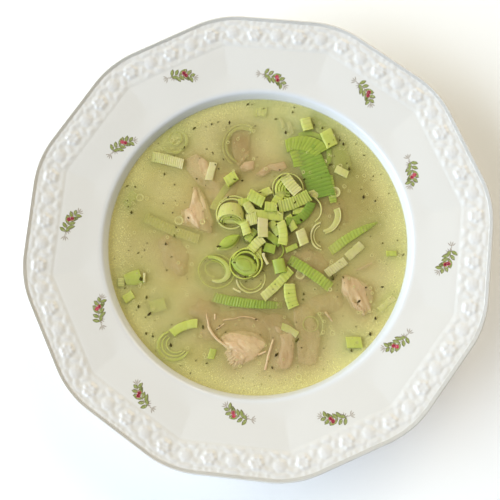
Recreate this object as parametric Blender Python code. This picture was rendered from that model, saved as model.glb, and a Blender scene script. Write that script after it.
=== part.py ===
"""A deep twelve-sided porcelain plate of chicken broth, with chopped leek and torn chicken floating in it.

Metres, +Z up. The origin is the middle of the foot ring's underside. The rim's flats face +X, +Y and
every 30 degrees between them.
"""

import math

import bmesh
import bpy
from mathutils import Matrix, Vector, noise

MM = 0.001

# The plate: distances from its axis and heights above the table.
SIDES = 12
RIM_APOTHEM = 0.1145
RIM_HEIGHT = 0.040
RIM_CORNER = 0.43
BAND_APOTHEM = 0.0990
BAND_HEIGHT = 0.0366
BAND_CORNER = 0.08
BAND_STEP = 0.0007
LIP_WIDTH = 0.0016
PANEL_APOTHEM = 0.0790
PANEL_HEIGHT = 0.0334
PANEL_CORNER = 0.55
SHOULDER_RADIUS = 0.0772
SHOULDER_HEIGHT = 0.0325
WELL_RADIUS = 0.0758
WELL_HEIGHT = 0.0285
FLOOR_RADIUS = 0.0500
FLOOR_HEIGHT = 0.0092
THICKNESS = 0.0040
FOOT_OUTER = 0.0572
FOOT_INNER = 0.0528
FOOT_TAPER = 0.0008
RECESS_HEIGHT = 0.0045
COLUMNS = 72
ARC_STEPS = 3

# Raised flowers of the border band: three on each side, seen here as low bosses.
FLOWERS_PER_SIDE = 3
FLOWER_RADIUS = 0.0062
FLOWER_HEIGHT = 0.0009
BAND_ROWS = (0.22, 0.50, 0.78)

# The broth, the gap that every piece keeps to its neighbour, and how much more than it a cutter grows.
BROTH_LEVEL = 0.0275
GAP = 0.0003
CUTTER_MARGIN = 1.2

# The pile of chopped leek in the middle: its middle, how far it reaches every 30 degrees from +X, and its
# height over and depth under the broth's surface.
PILE_CENTRE = (5 * MM, 10.5 * MM)
PILE_REACH = (19.5, 23, 25, 19, 20, 26, 26, 25, 25, 25.5, 18, 18)
PILE_RISE = 0.0052
PILE_DEPTH = 0.0075
PILE_COLUMNS = 24
PILE_RINGS = 4
PILE_LUMP = 0.0075
PILE_EVEN = 0.75
PILE_UNEVEN = 0.5

# Cut strips of leek: x, y, length, width and thickness in mm, heading and bow in degrees, and how far the
# middle of the strip stands above the broth's surface in mm.
STRIPS = {
    "leek_ribbon_front": (-1, -31, 34, 5, 1.5, 0, 16, 0.2),
    "leek_ribbon_diagonal": (29, -12, 24, 5.5, 1.5, -28, -8, 0.2),
    "leek_ribbon_right": (48, 9, 27, 5, 1.5, 37, -14, 0.2),
    "leek_strip_right_back": (49.5, 1, 9.5, 4.5, 1.4, 47, 0, 0.3),
    "leek_strip_right_front": (41, -8, 11, 4.5, 1.4, 40, 0, 0.4),
    "leek_strip_left": (-50, 39, 16, 5.5, 1.4, -9, -6, 0.0),
    "leek_strip_pale": (-27, 35, 9.5, 4, 1.4, -99, 0, 0.5),
    "leek_strip_back": (39.5, 41, 7, 4, 1.6, -21, 0, 0.2),
    "leek_strip_lower_left": (-32, -45, 13, 4.5, 1.6, 27, -40, 0.2),
    "leek_strip_pile_front": (13, -20, 17, 5, 1.6, 50, 12, 1.0),
    "leek_curl_front": (21, -26.5, 10, 6, 1.8, -72, 20, 0.2),
    "leek_tongue": (22, 40, 23, 12, 2.2, -62, -10, 0.9),
    "leek_tongue_edge": (35, 35, 16, 4, 1.6, -68, -6, 0.2),
    "leek_tongue_tip": (18, 55.5, 14, 5, 2.0, 14, -40, 0.2),
    "leek_block_left": (-17, 32, 7, 6, 3.4, 39, 0, 0.3),
    "leek_block_back_left": (19.5, 64, 6.5, 5.5, 3.4, -53, 0, 0.3),
    "leek_block_back_right": (31.5, 57.5, 9, 6.5, 3.6, -62, 0, 0.3),
    "leek_block_lower_right": (53, -44.5, 8, 5.5, 3.2, 6, 0, 0.2),
    "leek_disc_left": (-60.5, -23.5, 9, 8, 2.8, 20, 0, 0.1),
}
STRIP_STEP = 0.0045
STRIP_CROWN = 0.09
STRIP_SECTION = ((-1, -0.5), (0, -0.5), (1, -0.5), (1, 0.5), (0, 0.5), (-1, 0.5))

# Rings and open curls of leek: x, y, half length, half width, wall and height in mm, the ring's heading,
# and the angles between which it runs, in degrees.
RINGS = {
    "leek_ring_left": (-19, -15.5, 9, 7, 1.1, 2.6, -26, 0, 360),
    "leek_ring_front": (-2, -19.5, 7.5, 7.5, 1.0, 2.4, 6, 185, 355),
    "leek_ring_lower_left": (-36, -55, 8, 7, 1.3, 2.4, 6, 130, 400),
    "leek_curl_right_thin": (32.5, 7, 5.5, 6.5, 1.0, 2.4, 6, 95, 265),
    "leek_curl_right_thick": (31.5, 17.5, 8.5, 7.5, 2.6, 2.6, 6, 275, 385),
}
RING_STEP = 22

# Pieces of torn chicken: x, y, length, width and height in mm, heading in degrees, how far the top
# stands above the broth in mm, and how many times the ball it starts from is divided.
CHICKEN = {
    "chicken_front": (-2.5, -52, 23, 16, 9, -12, 2.6, 3),
    "chicken_front_right": (17.5, -49.5, 24, 11, 8, -74, 1.6, 3),
    "chicken_right": (53, -21.5, 21, 13, 9, -50, 2.4, 3),
    "chicken_left": (-31.5, 15.5, 22, 13, 9, -68, 2.6, 3),
    "chicken_back_left": (-10, 39, 9.5, 4.6, 4, 33, 1.4, 2),
    "chicken_back_right": (3.5, 38.5, 15, 5.4, 4.5, 22, 1.5, 2),
}
CHICKEN_LUMP = 0.0065
CHICKEN_ROUGHNESS = 0.16

PORCELAIN = ((0.83, 0.83, 0.80), 0.18)
BROTH = ((0.52, 0.47, 0.18), 0.12)
LEEK_GREEN = ((0.28, 0.46, 0.06), 0.35)
LEEK_PALE = ((0.62, 0.68, 0.30), 0.35)
CHICKEN_FLESH = ((0.62, 0.42, 0.27), 0.45)


def clear_scene():
    for obj in list(bpy.data.objects):
        bpy.data.objects.remove(obj, do_unlink=True)


def material(name, finish):
    colour, roughness = finish
    made = bpy.data.materials.new(name)
    made.use_nodes = True
    shader = made.node_tree.nodes["Principled BSDF"]
    shader.inputs["Base Color"].default_value = (*colour, 1)
    shader.inputs["Roughness"].default_value = roughness
    shader.inputs["Metallic"].default_value = 0
    return made


def finished(bm, name, finish, sharp_degrees=50):
    """Turns a closed mesh into a named, smoothly shaded object with a material of its own."""
    bmesh.ops.recalc_face_normals(bm, faces=bm.faces)
    mesh = bpy.data.meshes.new(name)
    bm.to_mesh(mesh)
    bm.free()
    mesh.shade_smooth()
    mesh.set_sharp_from_angle(angle=math.radians(sharp_degrees))
    mesh.materials.append(material(name, finish))
    obj = bpy.data.objects.new(name, mesh)
    bpy.context.scene.collection.objects.link(obj)
    return obj


def corner_rounded_radius(apothem, corner, angle):
    """How far a twelve-sided outline is from its axis. corner is 0 for sharp corners and 1 for a circle."""
    half = math.pi / SIDES
    off = abs((angle + half) % (2 * half) - half)
    if math.tan(off) < (1 - corner) * math.tan(half):
        return apothem / math.cos(off)
    radius = corner * apothem
    middle = (apothem - radius) / math.cos(half)
    swing = half - off
    return middle * math.cos(swing) + math.sqrt(radius**2 - (middle * math.sin(swing)) ** 2)


def arc_profile(middle, radii, start, end, steps):
    """Points (radius, height, corner) on an elliptical arc. 0 degrees is straight down, 90 is outwards."""
    points = []
    for step in range(steps + 1):
        turn = math.radians(start + (end - start) * step / steps)
        points.append((middle[0] + radii[0] * math.sin(turn), middle[1] - radii[1] * math.cos(turn), 1.0))
    return points


def well_profile(inset=0.0):
    """The inside of the well from its floor up to its rim, moved inwards by inset."""
    radii = (WELL_RADIUS - FLOOR_RADIUS - inset, WELL_HEIGHT - FLOOR_HEIGHT - inset)
    return arc_profile((FLOOR_RADIUS, WELL_HEIGHT), radii, 0, 90, ARC_STEPS)


def flower_rise(angle, along_band):
    """Height of the raised flowers at an angle round the rim and a share of the band's width."""
    pitch = 2 * math.pi / (SIDES * FLOWERS_PER_SIDE)
    off = abs((angle + pitch / 2) % pitch - pitch / 2)
    radius = BAND_APOTHEM + along_band * (RIM_APOTHEM - BAND_APOTHEM)
    aside = (along_band - 0.5) * (RIM_APOTHEM - BAND_APOTHEM)
    away = math.hypot(off * radius, aside)
    return FLOWER_HEIGHT * max(0.0, 1 - (away / FLOWER_RADIUS) ** 2)


def outline_ring(bm, station, columns, along_band=None):
    """One level of the plate. along_band is its share of the band's width where it crosses the flowers."""
    apothem, height, corner = station
    ring = []
    for column in range(columns):
        angle = 2 * math.pi * column / columns
        radius = corner_rounded_radius(apothem, corner, angle)
        lift = 0.0 if along_band is None else flower_rise(angle, along_band)
        ring.append(bm.verts.new((radius * math.cos(angle), radius * math.sin(angle), height + lift)))
    return ring


def join_rings(bm, coarse, fine):
    """Faces between two rings whose counts are equal or one to two, in either order."""
    if len(coarse) > len(fine):
        coarse, fine = fine, coarse
    count = len(coarse)
    if len(fine) == count:
        for i in range(count):
            bm.faces.new((coarse[i], coarse[(i + 1) % count], fine[(i + 1) % count], fine[i]))
        return
    for i in range(count):
        left, right = coarse[i], coarse[(i + 1) % count]
        first, middle, last = fine[2 * i], fine[2 * i + 1], fine[(2 * i + 2) % len(fine)]
        bm.faces.new((left, middle, first))
        bm.faces.new((left, right, middle))
        bm.faces.new((right, last, middle))


def close_ring(bm, ring, height):
    """A fan from a ring to a point on the axis."""
    tip = bm.verts.new((0, 0, height))
    for i in range(len(ring)):
        bm.faces.new((ring[i], ring[(i + 1) % len(ring)], tip))


def soup_plate():
    bm = bmesh.new()
    rings = [outline_ring(bm, station, COLUMNS) for station in well_profile()]
    close_ring(bm, rings[0], FLOOR_HEIGHT)
    rings.append(outline_ring(bm, (SHOULDER_RADIUS, SHOULDER_HEIGHT, 1.0), COLUMNS))
    rings.append(outline_ring(bm, (PANEL_APOTHEM, PANEL_HEIGHT, PANEL_CORNER), COLUMNS))
    rings.append(outline_ring(bm, (BAND_APOTHEM, BAND_HEIGHT, BAND_CORNER), COLUMNS))
    band_width = RIM_APOTHEM - LIP_WIDTH - BAND_APOTHEM
    band_rise = RIM_HEIGHT - BAND_HEIGHT - BAND_STEP
    for share in BAND_ROWS:
        apothem = BAND_APOTHEM + share * band_width
        height = BAND_HEIGHT + BAND_STEP + share * band_rise - FLOWER_HEIGHT * share
        corner = BAND_CORNER + share * (RIM_CORNER - BAND_CORNER)
        rings.append(outline_ring(bm, (apothem, height, corner), 2 * COLUMNS, share))
    lip = RIM_APOTHEM - LIP_WIDTH
    rings.append(outline_ring(bm, (lip, RIM_HEIGHT, RIM_CORNER), 2 * COLUMNS))
    rings.append(outline_ring(bm, (RIM_APOTHEM, RIM_HEIGHT - LIP_WIDTH / 2, RIM_CORNER), 2 * COLUMNS))
    rings.append(outline_ring(bm, (RIM_APOTHEM, RIM_HEIGHT - THICKNESS / 2, RIM_CORNER), COLUMNS))
    rings.append(outline_ring(bm, (lip, RIM_HEIGHT - THICKNESS, RIM_CORNER), COLUMNS))
    rings.append(outline_ring(bm, (BAND_APOTHEM, BAND_HEIGHT - THICKNESS, BAND_CORNER), COLUMNS))
    outside = (WELL_RADIUS - FLOOR_RADIUS + THICKNESS, WELL_HEIGHT - FLOOR_HEIGHT + THICKNESS)
    foot_start = math.degrees(math.asin((FOOT_OUTER + FOOT_TAPER - FLOOR_RADIUS) / outside[0]))
    for station in reversed(arc_profile((FLOOR_RADIUS, WELL_HEIGHT), outside, foot_start, 90, ARC_STEPS)):
        rings.append(outline_ring(bm, station, COLUMNS))
    rings.append(outline_ring(bm, (FOOT_OUTER, 0.0, 1.0), COLUMNS))
    rings.append(outline_ring(bm, (FOOT_INNER, 0.0, 1.0), COLUMNS))
    rings.append(outline_ring(bm, (FOOT_INNER - FOOT_TAPER, RECESS_HEIGHT, 1.0), COLUMNS))
    close_ring(bm, rings[-1], RECESS_HEIGHT)
    for inner, outer in zip(rings, rings[1:]):
        join_rings(bm, inner, outer)
    return finished(bm, "soup_plate", PORCELAIN)


def loft(bm, sections, closed=False):
    """A skin over cross-sections with equal counts, capped at both ends or joined into a loop."""
    loops = [[bm.verts.new(point) for point in section] for section in sections]
    pairs = list(zip(loops, loops[1:]))
    if closed:
        pairs.append((loops[-1], loops[0]))
    else:
        bm.faces.new(loops[0])
        bm.faces.new(reversed(loops[-1]))
    for first, second in pairs:
        count = len(first)
        for i in range(count):
            bm.faces.new((first[i], first[(i + 1) % count], second[(i + 1) % count], second[i]))


def strip_mesh(x, y, length, width, thickness, heading, bow, lift):
    """A cut strip, bowed in its plane, crowned across its width and a little arched along its length."""
    steps = max(2, round(length * MM / STRIP_STEP))
    point = Vector((0, 0))
    spine = []
    for step in range(steps + 1):
        turn = math.radians(heading + bow * ((step + 0.5) / steps - 0.5))
        spine.append((point.copy(), math.radians(heading + bow * (step / steps - 0.5)), step / steps))
        point += Vector((math.cos(turn), math.sin(turn))) * length * MM / steps
    middle = (spine[0][0] + spine[-1][0]) / 2
    crown = STRIP_CROWN * width
    sections = []
    for place, turn, share in spine:
        aside = Vector((-math.sin(turn), math.cos(turn)))
        arch = lift - crown * (2 * share - 1) ** 2
        section = []
        for across, up in STRIP_SECTION:
            flat = place - middle + Vector((x, y)) * MM + aside * across * width * MM / 2
            rise = arch + up * thickness - crown * abs(across)
            section.append((flat.x, flat.y, BROTH_LEVEL + rise * MM))
        sections.append(section)
    bm = bmesh.new()
    loft(bm, sections)
    return bm


def ring_mesh(x, y, long_half, wide_half, wall, height, heading, start, end):
    """A ring sliced from a leek, or part of one, floating with half of its height above the broth."""
    steps = round((end - start) / RING_STEP)
    whole = end - start == 360
    place = Matrix.Translation((x * MM, y * MM, BROTH_LEVEL))
    place @= Matrix.Rotation(math.radians(heading), 4, "Z")
    sections = []
    for step in range(steps if whole else steps + 1):
        turn = math.radians(start + (end - start) * step / steps)
        section = []
        for side, up in ((-0.5, -0.5), (0.5, -0.5), (0.5, 0.5), (-0.5, 0.5)):
            along = (long_half + side * wall) * math.cos(turn)
            across = (wide_half + side * wall) * math.sin(turn)
            section.append(place @ Vector((along * MM, across * MM, up * height * MM)))
        sections.append(section)
    bm = bmesh.new()
    loft(bm, sections, closed=whole)
    return bm


def chicken_mesh(x, y, length, width, height, heading, top, divisions):
    """A torn lump: a ball stretched along the meat's grain, pushed in and out by smooth noise."""
    bm = bmesh.new()
    bmesh.ops.create_icosphere(bm, subdivisions=divisions, radius=0.5)
    stretch = Matrix.Diagonal((length * MM, width * MM, height * MM, 1))
    turn = Matrix.Rotation(math.radians(heading), 4, "Z")
    seed = Vector((x, y, 0)) * MM
    for vert in bm.verts:
        spot = turn @ stretch @ vert.co
        swell = 1 + 2 * CHICKEN_ROUGHNESS * noise.noise((spot + seed) / CHICKEN_LUMP)
        vert.co = Vector((spot.x * swell, spot.y * swell, spot.z * (1 + (swell - 1) / 2)))
    crest = max(vert.co.z for vert in bm.verts)
    lift = Vector((x * MM, y * MM, BROTH_LEVEL + top * MM - crest))
    bmesh.ops.translate(bm, vec=lift, verts=bm.verts)
    return bm


def pile_reach(angle):
    """The pile's outline: a smooth closed curve through the reaches."""
    place = math.degrees(angle) % 360 * len(PILE_REACH) / 360
    first = int(place)
    share = (1 - math.cos(math.pi * (place - first))) / 2
    near = PILE_REACH[first % len(PILE_REACH)]
    far = PILE_REACH[(first + 1) % len(PILE_REACH)]
    return (near + (far - near) * share) * MM


def pile_mesh():
    """The heap of chopped leek, out to its uneven outline: lumpy above the broth, rounded below it."""
    bm = bmesh.new()
    rings = []
    stations = [(step / PILE_RINGS, 1) for step in range(PILE_RINGS + 1)]
    stations += [(step / PILE_RINGS, -1) for step in range(PILE_RINGS - 1, 0, -2)]
    for share, side in stations[1:]:
        ring = []
        for column in range(PILE_COLUMNS):
            angle = 2 * math.pi * column / PILE_COLUMNS
            reach = pile_reach(angle) * share
            away = Vector((reach * math.cos(angle), reach * math.sin(angle), 0))
            spot = Vector((*PILE_CENTRE, 0)) + away
            hump = math.sqrt(max(0.0, 1 - share**2))
            lumps = 0.5 + noise.noise(spot / PILE_LUMP)
            rise = -PILE_DEPTH * hump
            if side > 0:
                rise = PILE_RISE * hump * (PILE_EVEN + PILE_UNEVEN * lumps)
            ring.append(bm.verts.new((spot.x, spot.y, BROTH_LEVEL + rise)))
        rings.append(ring)
    for inner, outer in zip(rings, rings[1:]):
        join_rings(bm, inner, outer)
    for ring, height in ((rings[0], PILE_RISE), (rings[-1], -PILE_DEPTH)):
        tip = bm.verts.new((*PILE_CENTRE, BROTH_LEVEL + height))
        for i in range(PILE_COLUMNS):
            bm.faces.new((ring[i], ring[(i + 1) % PILE_COLUMNS], tip))
    return bm


def broth():
    """The broth: the well's shape held a gap inside it, flat on top."""
    bm = bmesh.new()
    profile = well_profile(GAP)
    under = [station for station in profile if station[1] < BROTH_LEVEL]
    over = profile[len(under)]
    share = (BROTH_LEVEL - under[-1][1]) / (over[1] - under[-1][1])
    edge = under[-1][0] + share * (over[0] - under[-1][0])
    rings = [outline_ring(bm, station, COLUMNS) for station in (*under, (edge, BROTH_LEVEL, 1.0))]
    close_ring(bm, rings[0], FLOOR_HEIGHT + GAP)
    for inner, outer in zip(rings, rings[1:]):
        join_rings(bm, inner, outer)
    bm.faces.new(rings[-1])
    return finished(bm, "broth", BROTH)


def grown_cutter(bm, name, cutters):
    """A copy of a piece grown by the gap, which cuts its place out of the broth."""
    grown = bm.copy()
    bmesh.ops.recalc_face_normals(grown, faces=grown.faces)
    grown.normal_update()
    moves = [vert.normal * vert.calc_shell_factor() * GAP * CUTTER_MARGIN for vert in grown.verts]
    for vert, move in zip(grown.verts, moves):
        vert.co += move
    cutter = finished(grown, f"cutter_{name}", BROTH)
    bpy.context.scene.collection.objects.unlink(cutter)
    cutters.objects.link(cutter)
    cutter.hide_render = True
    cutter.display_type = "WIRE"


def main():
    clear_scene()
    soup_plate()
    soup = broth()
    cutters = bpy.data.collections.new("cutters")
    bpy.context.scene.collection.children.link(cutters)
    toppings = [("leek_pile", pile_mesh(), LEEK_PALE)]
    for name, sizes in STRIPS.items():
        green = name.startswith(("leek_ribbon", "leek_tongue", "leek_curl", "leek_disc"))
        toppings.append((name, strip_mesh(*sizes), LEEK_GREEN if green else LEEK_PALE))
    for name, sizes in RINGS.items():
        toppings.append((name, ring_mesh(*sizes), LEEK_PALE))
    for name, sizes in CHICKEN.items():
        toppings.append((name, chicken_mesh(*sizes), CHICKEN_FLESH))
    for name, bm, finish in toppings:
        grown_cutter(bm, name, cutters)
        finished(bm, name, finish)
    cut = soup.modifiers.new("room for the toppings", "BOOLEAN")
    cut.operation = "DIFFERENCE"
    cut.solver = "EXACT"
    cut.operand_type = "COLLECTION"
    cut.collection = cutters


main()
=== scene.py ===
# %% [markdown]
# # A plate of chicken broth
#
# A deep twelve-sided porcelain plate, full of cloudy yellow broth with chopped leek and torn chicken.
# The solid model is loaded first and stays where it is. Everything below gives it its looks: a finely
# modelled plate with an embossed border, the broth's wet surface, and the real pieces of food.
# All lengths are in metres, +Z is up, and the origin is under the middle of the plate.

# %% Load the frame
import math

import bmesh
import bpy
from mathutils import Matrix, Vector, noise


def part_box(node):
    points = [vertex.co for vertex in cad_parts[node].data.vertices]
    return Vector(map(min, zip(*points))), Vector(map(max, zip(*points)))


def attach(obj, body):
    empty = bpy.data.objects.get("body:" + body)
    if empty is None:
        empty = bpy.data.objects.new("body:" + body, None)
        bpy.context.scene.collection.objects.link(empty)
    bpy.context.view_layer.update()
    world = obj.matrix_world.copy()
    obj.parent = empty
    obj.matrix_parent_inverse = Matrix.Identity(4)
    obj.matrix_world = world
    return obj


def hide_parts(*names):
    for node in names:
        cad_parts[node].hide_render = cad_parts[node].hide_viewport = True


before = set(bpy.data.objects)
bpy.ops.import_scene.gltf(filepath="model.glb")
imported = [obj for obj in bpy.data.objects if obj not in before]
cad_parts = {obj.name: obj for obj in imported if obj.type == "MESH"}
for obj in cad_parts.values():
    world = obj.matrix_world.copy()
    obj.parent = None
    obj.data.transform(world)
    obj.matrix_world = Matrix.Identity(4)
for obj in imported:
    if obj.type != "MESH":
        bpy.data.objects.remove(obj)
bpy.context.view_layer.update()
MM = 0.001
BODY = "root"

# %% [markdown]
# ## Driving sizes
#
# The frame gives how wide and high the plate is. The broth's level and the plate's profile repeat the
# solid model's own sizes, so that the fine plate fits the coarse one.

# %% Sizes
_, plate_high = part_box("soup_plate")
SIDES = 12
RIM_APOTHEM = plate_high.x
RIM_HEIGHT = plate_high.z
LEVEL = 0.0275
BAND_APOTHEM, BAND_HEIGHT, BAND_CORNER, RIM_CORNER = 0.0990, 0.0366, 0.08, 0.43
SHOULDER_RADIUS, SHOULDER_HEIGHT = 0.0772, 0.0325
WELL_RADIUS, WELL_HEIGHT = 0.0758, 0.0285
FLOOR_RADIUS, FLOOR_HEIGHT = 0.0500, 0.0092
THICKNESS = 0.0040
FOOT_OUTER, FOOT_INNER, FOOT_TAPER, RECESS_HEIGHT = 0.0572, 0.0528, 0.0008, 0.0045
LIP_WIDTH, BAND_STEP, RELIEF_HEIGHT = 0.0016, 0.0004, 0.0011
print("rim", round(2 * RIM_APOTHEM / MM), "mm across the flats,", round(RIM_HEIGHT / MM), "mm high")

# %% [markdown]
# ## Writing node trees as formulas
#
# Geometry and shader trees share their Math nodes. A small wrapper round one output socket turns plain
# arithmetic into such nodes, so that a rule in a tree reads like the formula it is.


# %% Flow
class Flow:
    """One output of a node. Arithmetic on it adds Math nodes to its tree."""

    def __init__(self, socket):
        self.socket = socket
        self.tree = socket.id_data

    def math(self, operation, *others):
        node = self.tree.nodes.new("ShaderNodeMath")
        node.operation = operation
        for socket, value in zip(node.inputs, (self, *others)):
            feed(socket, value)
        return Flow(node.outputs[0])

    def __add__(self, other):
        return self.math("ADD", other)

    def __sub__(self, other):
        return self.math("SUBTRACT", other)

    def __rsub__(self, other):
        return self.math("MULTIPLY", -1.0).math("ADD", other)

    def __mul__(self, other):
        return self.math("MULTIPLY", other)

    def __truediv__(self, other):
        return self.math("DIVIDE", other)

    def clamped(self):
        return self.math("MAXIMUM", 0.0).math("MINIMUM", 1.0)

    def smooth(self, low, high):
        """0 below low and 1 above high, with a soft step between them."""
        at = {"Value": self, "From Min": low, "From Max": high}
        return out(put(self.tree, "ShaderNodeMapRange", at, interpolation_type="SMOOTHSTEP"))

    __radd__ = __add__
    __rmul__ = __mul__


def feed(socket, value):
    """Links a Flow to an input, or sets the input to a plain value."""
    if isinstance(value, Flow):
        value.tree.links.new(value.socket, socket)
    elif value is not None:
        socket.default_value = value


def put(tree, kind, at=None, **settings):
    """Adds a node. Its settings come first, then its inputs, by name or number."""
    node = tree.nodes.new(kind)
    for name, value in settings.items():
        setattr(node, name, value)
    for key, value in (at or {}).items():
        feed(node.inputs[key], value)
    return node


def out(node, key=0):
    return Flow(node.outputs[key])


def vector(tree, x=0.0, y=0.0, z=0.0):
    return out(put(tree, "ShaderNodeCombineXYZ", {0: x, 1: y, 2: z}))


def parts_of(flow):
    node = put(flow.tree, "ShaderNodeSeparateXYZ", {0: flow})
    return [Flow(socket) for socket in node.outputs]


def blend(tree, share, first, second):
    """A colour mixed from two, where share goes from 0 to 1."""
    first, second = (value if isinstance(value, Flow) else (*value, 1.0) for value in (first, second))
    at = {"Factor": share, 6: first, 7: second}
    return out(put(tree, "ShaderNodeMix", at, data_type="RGBA", clamp_factor=True), 2)


def length_of(x, y):
    """How long the flat arrow x, y is."""
    return (x * x + y * y).math("SQRT")


def round_place(tree, radius, turn, height=0.0):
    """The place at a distance from the axis, a turn round it and a height."""
    return vector(tree, radius * turn.math("COSINE"), radius * turn.math("SINE"), height)


def here(tree):
    """The x, y and z of every point, wherever they are used."""
    return parts_of(out(put(tree, "GeometryNodeInputPosition")))


def moved(tree, geometry, place):
    return out(put(tree, "GeometryNodeSetPosition", {"Geometry": geometry, "Position": place}))


def store(tree, geometry, name, value):
    """Keeps a value on every point under a name."""
    at = {"Geometry": geometry, "Name": name, "Value": value}
    return out(put(tree, "GeometryNodeStoreNamedAttribute", at, data_type="FLOAT", domain="POINT"))


def recall(tree, name):
    return out(put(tree, "GeometryNodeInputNamedAttribute", {"Name": name}, data_type="FLOAT"))


def shape_in(tree, obj):
    return out(put(tree, "GeometryNodeObjectInfo", {"Object": obj}), "Geometry")


def dropped(tree, x, y, top, ground):
    """Looks straight down from a height: whether a shape lies below, and how high it is there."""
    at = {"Target Geometry": shape_in(tree, ground), "Ray Direction": (0, 0, -1), "Ray Length": top}
    ray = put(tree, "GeometryNodeRaycast", at)
    feed(ray.inputs["Source Position"], vector(tree, x, y, top))
    return out(ray, "Is Hit"), parts_of(out(ray, "Hit Position"))[2]


def unit_grid(tree, columns, rows):
    """A flat grid, and for each of its points the turn round the axis and the number of its row."""
    size = {"Size X": 1.0, "Size Y": 1.0, "Vertices X": columns + 1, "Vertices Y": rows}
    grid = put(tree, "GeometryNodeMeshGrid", size)
    across, down, _ = here(tree)
    return out(grid), (across + 0.5) * (2 * math.pi), ((down + 0.5) * (rows - 1)).math("ROUND")


# %% [markdown]
# ## From a tree to a piece
#
# A tree gets named inputs, and ends in Realize Instances and Set Material. The modifier's inputs are set
# by identifier before the object is first evaluated. The result is copied into a plain mesh, and the
# carrier with its modifier is thrown away, so that a finished piece has no history.


# %% Trees and pieces
def new_tree(name, **inputs):
    """A geometry tree and its inputs as Flows, each of the kind that its first value shows."""
    tree = bpy.data.node_groups.new(name, "GeometryNodeTree")
    tree.interface.new_socket("Geometry", in_out="OUTPUT", socket_type="NodeSocketGeometry")
    tree.interface.new_socket("Geometry", in_out="INPUT", socket_type="NodeSocketGeometry")
    for label, value in inputs.items():
        kind = {int: "Int", float: "Float"}.get(type(value), "Object")
        socket = tree.interface.new_socket(label, in_out="INPUT", socket_type=f"NodeSocket{kind}")
        if kind != "Object":
            socket.default_value = value
    entry = tree.nodes.new("NodeGroupInput")
    return tree, {socket.name: Flow(socket) for socket in entry.outputs if socket.name}


def end_tree(tree, geometry, material=None):
    whole = put(tree, "GeometryNodeRealizeInstances", {0: geometry})
    coated = put(tree, "GeometryNodeSetMaterial", {"Geometry": out(whole), "Material": material})
    put(tree, "NodeGroupOutput", {0: out(coated)})
    return tree


def carried(name, data):
    obj = bpy.data.objects.new(name, data)
    bpy.context.scene.collection.objects.link(obj)
    return obj


def plain_mesh(name, points, faces=()):
    mesh = bpy.data.meshes.new(name)
    mesh.from_pydata(points, [], faces)
    return mesh


def baked(name, bm):
    mesh = bpy.data.meshes.new(name)
    bm.to_mesh(mesh)
    bm.free()
    return mesh


def grown(name, tree, start=None, **inputs):
    """Runs a tree on a starting mesh and returns the plain mesh that it makes."""
    carrier = carried(name + "_carrier", start or bpy.data.meshes.new(name + "_start"))
    modifier = carrier.modifiers.new("tree", "NODES")
    modifier.node_group = tree
    for item in tree.interface.items_tree:
        if item.in_out == "INPUT" and item.name in inputs:
            modifier[item.identifier] = inputs[item.name]
    bpy.context.view_layer.update()
    graph = bpy.context.evaluated_depsgraph_get()
    mesh = bpy.data.meshes.new_from_object(carrier.evaluated_get(graph))
    bpy.data.objects.remove(carrier, do_unlink=True)
    mesh.name = name
    return mesh


def facing_out(mesh):
    """Welds what lies together and turns the faces of a closed mesh outwards."""
    bm = bmesh.new()
    bm.from_mesh(mesh)
    bmesh.ops.remove_doubles(bm, verts=bm.verts, dist=1e-6)
    bmesh.ops.dissolve_degenerate(bm, dist=1e-7, edges=bm.edges)
    bmesh.ops.recalc_face_normals(bm, faces=bm.faces)
    bm.to_mesh(mesh)
    bm.free()
    return mesh


def piece(name, mesh, replaces=(), material=None, sharp=40):
    """A finished piece: smooth, named, riding on the body and standing for its solid nodes."""
    mesh.shade_smooth()
    mesh.set_sharp_from_angle(angle=math.radians(sharp))
    if material:
        mesh.materials.clear()
        mesh.materials.append(material)
    obj = carried(name, mesh)
    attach(obj, BODY)
    if replaces:
        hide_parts(*replaces)
    triangles = sum(len(face.vertices) - 2 for face in mesh.polygons)
    print(f"{name}: {triangles} triangles, {[round(side / MM, 1) for side in obj.dimensions]} mm")
    return obj


# %% [markdown]
# ## Writing materials
#
# Every material is one Principled shader. Its plain values are set on its own sockets, and what varies is
# fed by nodes that read Object coordinates, so a pattern stays on its piece when that moves.


# %% Material tools
def shader_of(name):
    material = bpy.data.materials.new(name)
    material.use_nodes = True
    return material, material.node_tree, material.node_tree.nodes["Principled BSDF"]


def dress(shader, inputs):
    for name, value in inputs.items():
        feed(shader.inputs[name], value)


def object_point(tree):
    return out(put(tree, "ShaderNodeTexCoord"), "Object")


def attribute(tree, name):
    return out(put(tree, "ShaderNodeAttribute", attribute_name=name), "Fac")


def grain(tree, point, size, detail=3.0, rough=0.5):
    """Smooth noise from 0 to 1 whose lumps are about size metres across."""
    at = {"Vector": point, "Scale": 1 / size, "Detail": detail, "Roughness": rough}
    return out(put(tree, "ShaderNodeTexNoise", at))


def bump(tree, shader, height, depth):
    made = put(tree, "ShaderNodeBump", {"Height": height, "Distance": depth, "Strength": 1.0})
    feed(shader.inputs["Normal"], out(made))


# %% [markdown]
# ## Camera, floor and light
#
# The plate is seen from almost straight above, a little from its front. The floor is plain and pale.
# Cool daylight comes from the left, as from a wide window. A patch of bluer sky fills in from the front
# left, a warm lamp from the back right, and the room itself is even.

# %% Camera
CAMERA_DISTANCE = 0.39
CAMERA_TILT = 8.3
CAMERA_SIDE = -65.0
CAMERA_TURN = 5.9
CAMERA_AIM = Vector((-0.0023, -0.0049, 0.0375))
VIEW_WIDTH = 0.2462


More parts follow.
